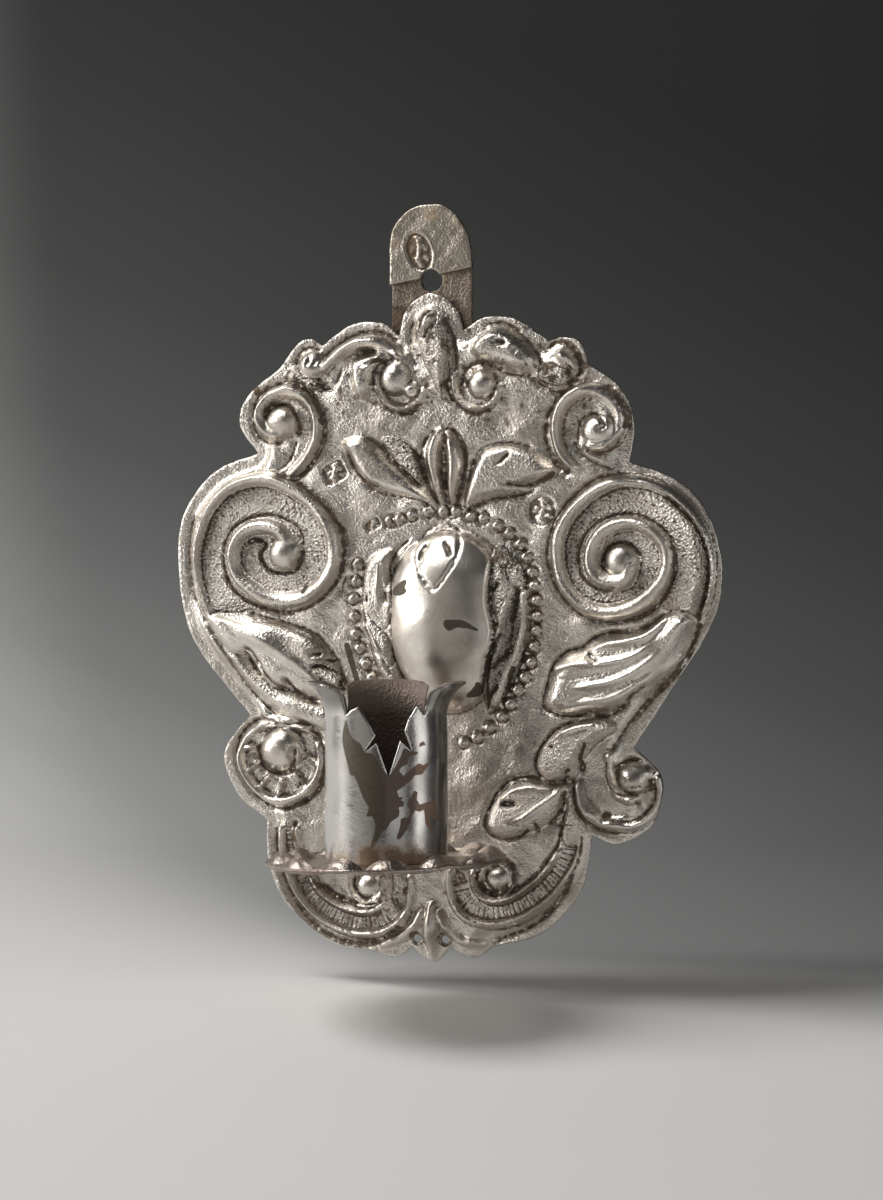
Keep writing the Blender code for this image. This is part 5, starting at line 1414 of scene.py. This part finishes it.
def build_strap():
    relief = Relief((-6.2, -17.6), (6.2, 4.6))
    x, z = relief.x[None, :], relief.z[:, None]
    relief.height += 0.04 * waves(x, z, 51, 3.0)
    relief.matt += 0.15
    relief.oxide += 0.24 + 0.10 * waves(x, z, 52, 4.0)
    low_left = ease((-1.0 - x) / 3) * ease((-2.4 - z) / 1.5)
    relief.oxide = np.maximum(relief.oxide, 0.85 * low_left)
    for line in STRAP_SCRATCHES:
        relief.line(0.06, 0.04, 0.5, line)
    w = STRAP_HALF_WIDTH
    corners = ((-w, STRAP_BOTTOM), (w, STRAP_BOTTOM), (w, STRAP_TOP), (-w, STRAP_TOP), (-w, STRAP_BOTTOM))
    sides = [smooth_curve([a, b], 0.4)[:-1] for a, b in zip(corners, corners[1:])]
    loop = np.vstack(sides)
    hole = circle(0, 0, HOLE_RADIUS, 32)
    look = {"clean": (0.26, 0.215, 0.18), "dull": (0.18, 0.144, 0.115), "dullness": 1.0, "pits": 0.9}
    material = aged_silver("strap silver", smooth=0.34, **look)
    loops = [loop, hole]
    front = STRAP_THICKNESS - RIM_FRONT
    hanger_piece("strap", "hanger_strap", loops, relief, front, STRAP_THICKNESS, material)


# ---------------------------------------------------------------- pan, socket and arm


def around_axis(radius, turn, z):
    """Points at a radius from the socket's axis. turn 0 is the socket's front notch."""
    angle = VIEW_TURN + turn
    x = AXIS_X + radius * np.sin(angle)
    return to_world(x, AXIS_HEIGHT + radius * np.cos(angle), z)


def pan_rise(radius, turn):
    """The pan's surface above its level: uneven bosses, a groove and a lip."""
    rise = np.zeros(np.broadcast(radius, turn).shape)
    for number, at in enumerate(PAN_BOSSES):
        size = 1 + 0.10 * math.sin(number * 2.3)
        off = (turn - math.radians(at) + math.pi) % (2 * math.pi) - math.pi
        away = np.hypot((radius - BOSS_RING) / (1.95 * size), off * BOSS_RING / (2.9 * size))
        rise = np.maximum(rise, 1.45 * size * (1 - np.clip(away, 0, 1) ** 2) ** 0.95)
    groove = -0.12 * np.exp(-(((radius - 10.9) / 0.35) ** 2))
    lip = 0.3 * ease((radius - 14.8) / 0.4)
    return rise + groove + lip


def pan_slope(turn):
    return PAN_TILT * np.sin(turn) - PAN_DIP * np.cos(turn)


def build_pan():
    rim = PAN_RADIUS - 0.12
    radii = np.concatenate([np.linspace(0.6, 10.2, 16), np.linspace(10.5, rim, 24)])
    columns = 288
    turn = np.arange(columns) * 2 * math.pi / columns
    grid_r, grid_t = np.meshgrid(radii, turn, indexing="ij")
    edge_r = PAN_RADIUS + 0.05 * np.sin(3 * turn + 1) - 0.05 + 0.03 * np.sin(11 * turn)
    r, t, depth = [np.zeros(2)], [np.zeros(2)], [np.array([0, PAN_THICKNESS])]
    for level in (0, PAN_THICKNESS):
        r.append(grid_r.ravel())
        t.append(grid_t.ravel())
        depth.append(np.full(grid_r.size, float(level)))
    r += [edge_r, edge_r]
    t += [turn, turn]
    depth += [np.full(columns, 0.13), np.full(columns, PAN_THICKNESS - 0.13)]
    r, t, depth = (np.concatenate(parts) for parts in (r, t, depth))
    rise = pan_rise(r, t)
    points = around_axis(r, t, PAN_TOP + rise + r * pan_slope(t) - depth)
    size = grid_r.size
    j = np.arange(columns)
    k = (j + 1) % columns
    faces = [np.column_stack([j * 0, 2 + j, 2 + k])]
    faces.append(np.column_stack([j * 0 + 1, 2 + size + k, 2 + size + j]))
    for ring in range(len(radii) - 1):
        low, high = 2 + ring * columns, 2 + (ring + 1) * columns
        faces.append(np.column_stack([low + j, high + j, high + k, low + k]))
        faces.append(np.column_stack([low + k, high + k, high + j, low + j]) + size)
    top, bottom, edge = 2 + size - columns, 2 + 2 * size - columns, 2 + 2 * size
    for low, high in ((top, edge), (edge, edge + columns), (edge + columns, bottom)):
        faces.append(np.column_stack([low + j, high + j, high + k, low + k]))
    faces = [face[:, ::-1] for face in faces]
    shown = depth < PAN_THICKNESS
    low = np.clip(1 - rise / 0.5, 0, 1)
    low = np.maximum(low, 0.75 * ease((r - 14.9) / 0.3))
    uneven = waves(r * np.sin(t), r * np.cos(t), 61, 4.0)
    attributes = {
        "oxide": np.where(shown, low * (0.36 + 0.08 * uneven), 0.3 + 0.05 * uneven),
        "matt": np.where(shown, 0.1, 0.25),
        "rust": np.where(shown, np.exp(-(((r - 8.4) / 1.3) ** 2)) * (0.65 + 0.4 * np.sin(t - 0.4)), 0.1),
    }
    obj = mesh_object("pan", points, faces, attributes)
    look = {"clean": (0.46, 0.40, 0.36), "dull": (0.28, 0.22, 0.19), "dullness": 0.9}
    material = aged_silver("pan silver", smooth=0.26, swell=0.3, ground=0.03, **look)
    finish_piece(obj, "drip_pan", material)


def signed_distance(x, z, loop):
    """Distance from a closed loop, positive inside."""
    best = np.full(x.shape, np.inf)
    for a, b in zip(loop, np.roll(loop, -1, axis=0)):
        dx, dz = b - a
        share = np.clip(((x - a[0]) * dx + (z - a[1]) * dz) / (dx * dx + dz * dz + 1e-12), 0, 1)
        best = np.minimum(best, np.hypot(x - a[0] - share * dx, z - a[1] - share * dz))
    return np.where(inside(x, z, loop), best, -best)


def socket_ear(turn):
    """How strongly the socket's upper edge is bent outwards at a turn in degrees."""
    away = np.abs((turn + 180) % 360 - 180)
    rise = ease((away - 41) / 8)
    dip = 1 - 0.8 * np.exp(-(((away - 138) / 3.0) ** 2))
    return np.clip(rise * dip, 0.02, 1)


def socket_place(arc, up, depth):
    """Points of the rolled sheet: arc round it from the front notch, and up along it."""
    turn = arc / SOCKET_MIDDLE
    ear = socket_ear(np.degrees(turn))
    straight = np.minimum(up, SOCKET_BEND_START)
    over = np.maximum(up - SOCKET_BEND_START, 0)
    bend = over * ear / EAR_BEND_RADIUS
    radius = SOCKET_MIDDLE + EAR_BEND_RADIUS / ear * (1 - np.cos(bend))
    foot = PAN_TOP - 0.05 + SOCKET_MIDDLE * pan_slope(turn) * np.clip(1 - up / 5, 0, 1)
    z = foot + straight * (1 + GAP / SOCKET_BEND_START) + EAR_BEND_RADIUS / ear * np.sin(bend)
    out = SOCKET_WALL / 2 - depth
    radius = radius + out * np.cos(bend) + 0.05 * waves(arc, up, 71, 9.0, 4)
    return around_axis(radius, turn, z - out * np.sin(bend))


def rolled_out(points):
    """(arc, up) of points given as (turn in degrees, up)."""
    flat = np.array(points, dtype=float)
    flat[:, 0] = np.radians(flat[:, 0]) * SOCKET_MIDDLE
    return flat


def socket_outline():
    """The sheet before it was rolled, as (arc, up): foot, seam, ears, notches and V."""
    behind = [(turn - 360, up) for turn, up in SOCKET_EARS if SEAM_TURN <= turn < 180]
    left = [(-turn, up) for turn, up in SOCKET_EARS[::-1]]
    right = [(turn, up) for turn, up in SOCKET_EARS if turn <= SEAM_TURN]
    top = behind + left + list(SOCKET_V) + right
    foot = [(a, 0.0) for a in np.linspace(SEAM_TURN - 360, SEAM_TURN, 120)]
    closed = closed_line(rolled_out(foot + top[::-1]))
    sides = []
    for a, b in zip(closed, closed[1:]):
        count = max(1, round(float(np.linalg.norm(b - a)) / 0.33))
        sides.append(a + (b - a) * (np.arange(count) / count)[:, None])
    return np.vstack(sides)


def build_socket():
    patches = [rolled_out(points) for points in SOCKET_PATCHES]

    def paint(arc, up, depth):
        shown = depth < SOCKET_WALL / 2
        away = np.max([signed_distance(arc, up, patch) for patch in patches], axis=0)
        inner = 0.85 + 0.08 * waves(arc, up, 74, 3.0)
        foot = np.exp(-((up / 2.5) ** 2)) * (0.25 + 0.85 * np.exp(-((arc / 6.5) ** 2)))
        uneven = waves(arc, up, 75, 3.5)
        warm = ease((arc + 0.6) / 1.2) + ease((arc - 3.2) / 1.2)
        back = ease((np.abs(arc) - 11.0) / 3.0)
        # painted reflection: a dark stripe down the socket's right flank
        flank_reflection = 0.85 * ease((arc - 7.2) / 0.8) * (1 - ease((arc - 10.2) / 2.2))
        return {
            "stain": np.where(shown, np.clip(0.5 + away / 0.4, 0, 1), inner),
            "warm": np.where(shown, warm / 2, 0.32),
            "dim": np.where(shown, np.maximum(flank_reflection, 0.62 * ease((up - 18.0) / 2.6)), 0),
            "oxide": np.where(shown, 0.14 * back * (1 + 0.3 * uneven), 0.6),
            "rust": np.where(shown, np.clip(foot * (1.3 + 0.4 * uneven), 0, 1), 0.1),
            "matt": np.where(shown, 0.0, 0.15),
        }

    def fine(arc, up):
        return (np.abs(arc) < 8) | (up > SOCKET_BEND_START - 0.5)

    obj = sheet_object("socket", [socket_outline()], 0.36, fine, SOCKET_WALL, socket_place, paint)
    look = {"clean": (0.68, 0.66, 0.64), "dull": (0.55, 0.52, 0.48), "dullness": 0.35, "pits": 0.1}
    material = aged_silver("socket silver", smooth=0.17, swell=0.22, ground=0.0, **look)
    finish_piece(obj, "candle_socket", material)


def arm_path():
    """Centre line of the strap as (height, z): up the plate, under the pan, and a loop."""
    foot = FIELD_RISE + GAP + ARM_THICKNESS / 2 + 0.1
    run = ARM_RUN_Z
    up_plate = [(foot, ARM_FOOT_TOP), (foot, -73.5), (foot, run + 1.4), (foot + 0.3, run + 0.4)]
    under_pan = [(foot + 1.2, run), (6.0, run), (9.5, run), (12.3, run)]
    back_leg = [(13.3, run - 0.4), (13.7, run - 1.4), (13.7, -79.4), (14.3, -81.4), (15.6, -82.0)]
    front_leg = [(16.9, -81.4), (17.55, -79.9), (17.65, -78.0), (17.7, run + 0.5)]
    return smooth_curve(up_plate + under_pan + back_leg + front_leg, ARM_STEP)


def build_arm():
    path = arm_path()
    along = np.gradient(path, axis=0)
    along /= np.linalg.norm(along, axis=1)[:, None]
    normal = np.column_stack([-along[:, 1], along[:, 0]])
    run = np.arange(len(path)) * ARM_STEP
    leg = path[:, 0] > 16.5
    z = path[:, 1]
    widths = np.interp(z, *zip(*ARM_LEG))
    half = np.where(leg, widths / 2, ARM_WIDTH / 2 * (1 + 0.04 * np.sin(run * 1.3)))
    half = soften(half[:, None], 1)[:, 0]
    channel = np.where(leg, 0.34 * ease((z + 80.2) / 0.8), 0)
    channel = soften(channel[:, None], 1)[:, 0]
    across = np.linspace(-1, 1, 13)
    section = [(u, 1) for u in across] + [(u, -1) for u in across[::-1]]
    rings = []
    for i, (h, level) in enumerate(path):
        for u, side in section:
            rounding = 0.75 + 0.25 * math.sqrt(max(0.0, 1 - abs(u) ** 6))
            offset = side * ARM_THICKNESS / 2 * rounding
            if leg[i]:
                offset -= channel[i] * (1 - u * u) ** 0.7 * side * (1 if side < 0 else -0.4)
            x = AXIS_X + u * half[i]
            rings.append((x, h + normal[i, 0] * offset, level + normal[i, 1] * offset, run[i], u, side))
    data = np.array(rings)
    count = len(section)
    faces = []
    j = np.arange(count)
    k = (j + 1) % count
    for i in range(len(path) - 1):
        low, high = i * count, (i + 1) * count
        faces.append(np.column_stack([low + j, low + k, high + k, high + j]))
    last = (len(path) - 1) * count
    faces.append(np.arange(count)[::-1][None])
    faces.append((last + np.arange(count))[None])
    x, h, level = data[:, 0], data[:, 1], data[:, 2]
    h = h + 0.03 * waves(x * 2, level + h, 81, 2.0)
    uneven = waves(x * 2, h + level, 82, 3.0)
    attributes = {
        "oxide": 0.28 + 0.12 * uneven,
        "matt": np.full(len(x), 0.3),
    }
    obj = mesh_object("arm", to_world(x, h, level), faces, attributes)
    material = aged_silver("arm silver", dullness=1.0, pits=0.9, smooth=0.34)
    finish_piece(obj, "bracket_arm", material)


# ---------------------------------------------------------------- stage


def build_stage():
    """A floor that sweeps up into a backdrop, pale below, with painted shade that darkens it higher up
    and a painted shadow on the floor behind the plate. It stands square to the camera, so it is
    built along its own axes and then turned."""
    profile = [(y, FLOOR_Z + FLOOR_SLOPE * y) for y in (-1100, -300, -80, -25, -8)]
    profile += [(y, FLOOR_Z) for y in (4, 25, 90, FLOOR_DEPTH)]
    for a in np.linspace(0, math.pi / 2, 24)[1:]:
        y = FLOOR_DEPTH + SWEEP_RADIUS * math.sin(a)
        profile.append((y, FLOOR_Z + SWEEP_RADIUS * (1 - math.cos(a))))
    profile.append((FLOOR_DEPTH + SWEEP_RADIUS, 1500))
    half = 1600
    verts = [(x * MM, y * MM, z * MM) for y, z in profile for x in (-half, half)]
    faces = np.array([(2 * i, 2 * i + 1, 2 * i + 3, 2 * i + 2) for i in range(len(profile) - 1)])
    obj = mesh_object("backdrop", np.array(verts), [faces], sharp=80)
    obj.rotation_euler = (0, 0, VIEW_TURN)
    n = Nodes("backdrop paper")
    parts = n.node("ShaderNodeSeparateXYZ")
    n.tree.links.new(n.place, parts.inputs[0])
    # painted shade: the backdrop's colour darkens with height and towards the right
    level = n.math("ADD", parts.outputs["Z"], n.math("MULTIPLY", parts.outputs["X"], SHADE_SLANT))
    painted_falloff = n.node("ShaderNodeValToRGB")
    ramp = painted_falloff.color_ramp
    low, high = BACKDROP_PAINTED_SHADE[0][0], BACKDROP_PAINTED_SHADE[-1][0]
    n.feed(painted_falloff.inputs[0], n.math("DIVIDE", n.math("SUBTRACT", level, low), high - low))
    for at, shade in BACKDROP_PAINTED_SHADE[1:-1]:
        ramp.elements.new((at - low) / (high - low)).color = (shade, shade, shade, 1)
    for end in (0, -1):
        shade = BACKDROP_PAINTED_SHADE[end][1]
        ramp.elements[end].color = (shade, shade, shade, 1)
    # painted shadow: past a slanted edge behind the plate the pale floor gives way to the painted shade
    leftwards = n.math("MAXIMUM", n.math("SUBTRACT", BRIGHT_BEND_AT, parts.outputs["X"]), 0.0)
    end = n.math("SUBTRACT", BRIGHT_END, n.math("MULTIPLY", parts.outputs["X"], BRIGHT_SLANT))
    end = n.math("ADD", end, n.math("MULTIPLY", leftwards, BRIGHT_BEND))
    width = n.math("ADD", n.math("MULTIPLY", leftwards, BRIGHT_SPREAD), BRIGHT_BLUR)
    near = n.ramp(n.math("DIVIDE", n.math("SUBTRACT", parts.outputs["Y"], end), width), 1.0, -1.0)
    colour = n.mix(near, painted_falloff.outputs["Color"], (*FLOOR_COLOUR, 1))
    grain = n.noise(1.5, 4.0, 0.6)
    rough = n.math("ADD", 0.72, n.math("MULTIPLY", grain, 0.1))
    n.finish(colour, 0.0, rough, n.bump(grain, 0.02, 0.3))
    n.shader.inputs["Specular IOR Level"].default_value = 0.2
    obj.data.materials.append(n.material)


def area_light(name, at, target, size, radiance, colour=(1, 1, 1)):
    """A soft rectangular light, in millimetres, of the given brightness."""
    data = bpy.data.lights.new(name, "AREA")
    data.shape = "RECTANGLE"
    data.size, data.size_y = size[0] * MM, size[1] * MM
    data.energy = radiance * math.pi * data.size * data.size_y
    data.color = colour
    obj = bpy.data.objects.new(name, data)
    obj.location = Vector(at) * MM
    obj.rotation_euler = (Vector(target) - Vector(at)).to_track_quat("-Z", "Y").to_euler()
    bpy.context.scene.collection.objects.link(obj)


def build_lights():
    for light in LIGHTS:
        area_light(*light)
    world = bpy.data.worlds.new("studio")
    world.use_nodes = True
    background = world.node_tree.nodes["Background"]
    background.inputs["Color"].default_value = ROOM_COLOUR
    background.inputs["Strength"].default_value = 1.0
    bpy.context.scene.world = world


def build_camera():
    """Level camera, 21 degrees round towards +X, that aims at the middle of the plate."""
    target = Vector(CAMERA_TARGET)
    away = Vector((math.sin(VIEW_TURN), -math.cos(VIEW_TURN), 0)) * CAMERA_DISTANCE
    data = bpy.data.cameras.new("camera")
    data.sensor_fit = "VERTICAL"
    data.sensor_height = SENSOR_HEIGHT
    data.lens = SENSOR_HEIGHT * CAMERA_DISTANCE / PICTURE_TALL
    data.clip_start = 0.01
    data.clip_end = 20
    camera = bpy.data.objects.new("camera", data)
    camera.location = (target + away) * MM
    camera.rotation_euler = (-away).to_track_quat("-Z", "Y").to_euler()
    bpy.context.scene.collection.objects.link(camera)
    bpy.context.scene.camera = camera


def main():
    bpy.context.scene.view_settings.view_transform = "Standard"
    build_camera()
    build_stage()
    build_lights()
    build_plate()
    build_tongue()
    build_strap()
    build_pan()
    build_socket()
    build_arm()


main()
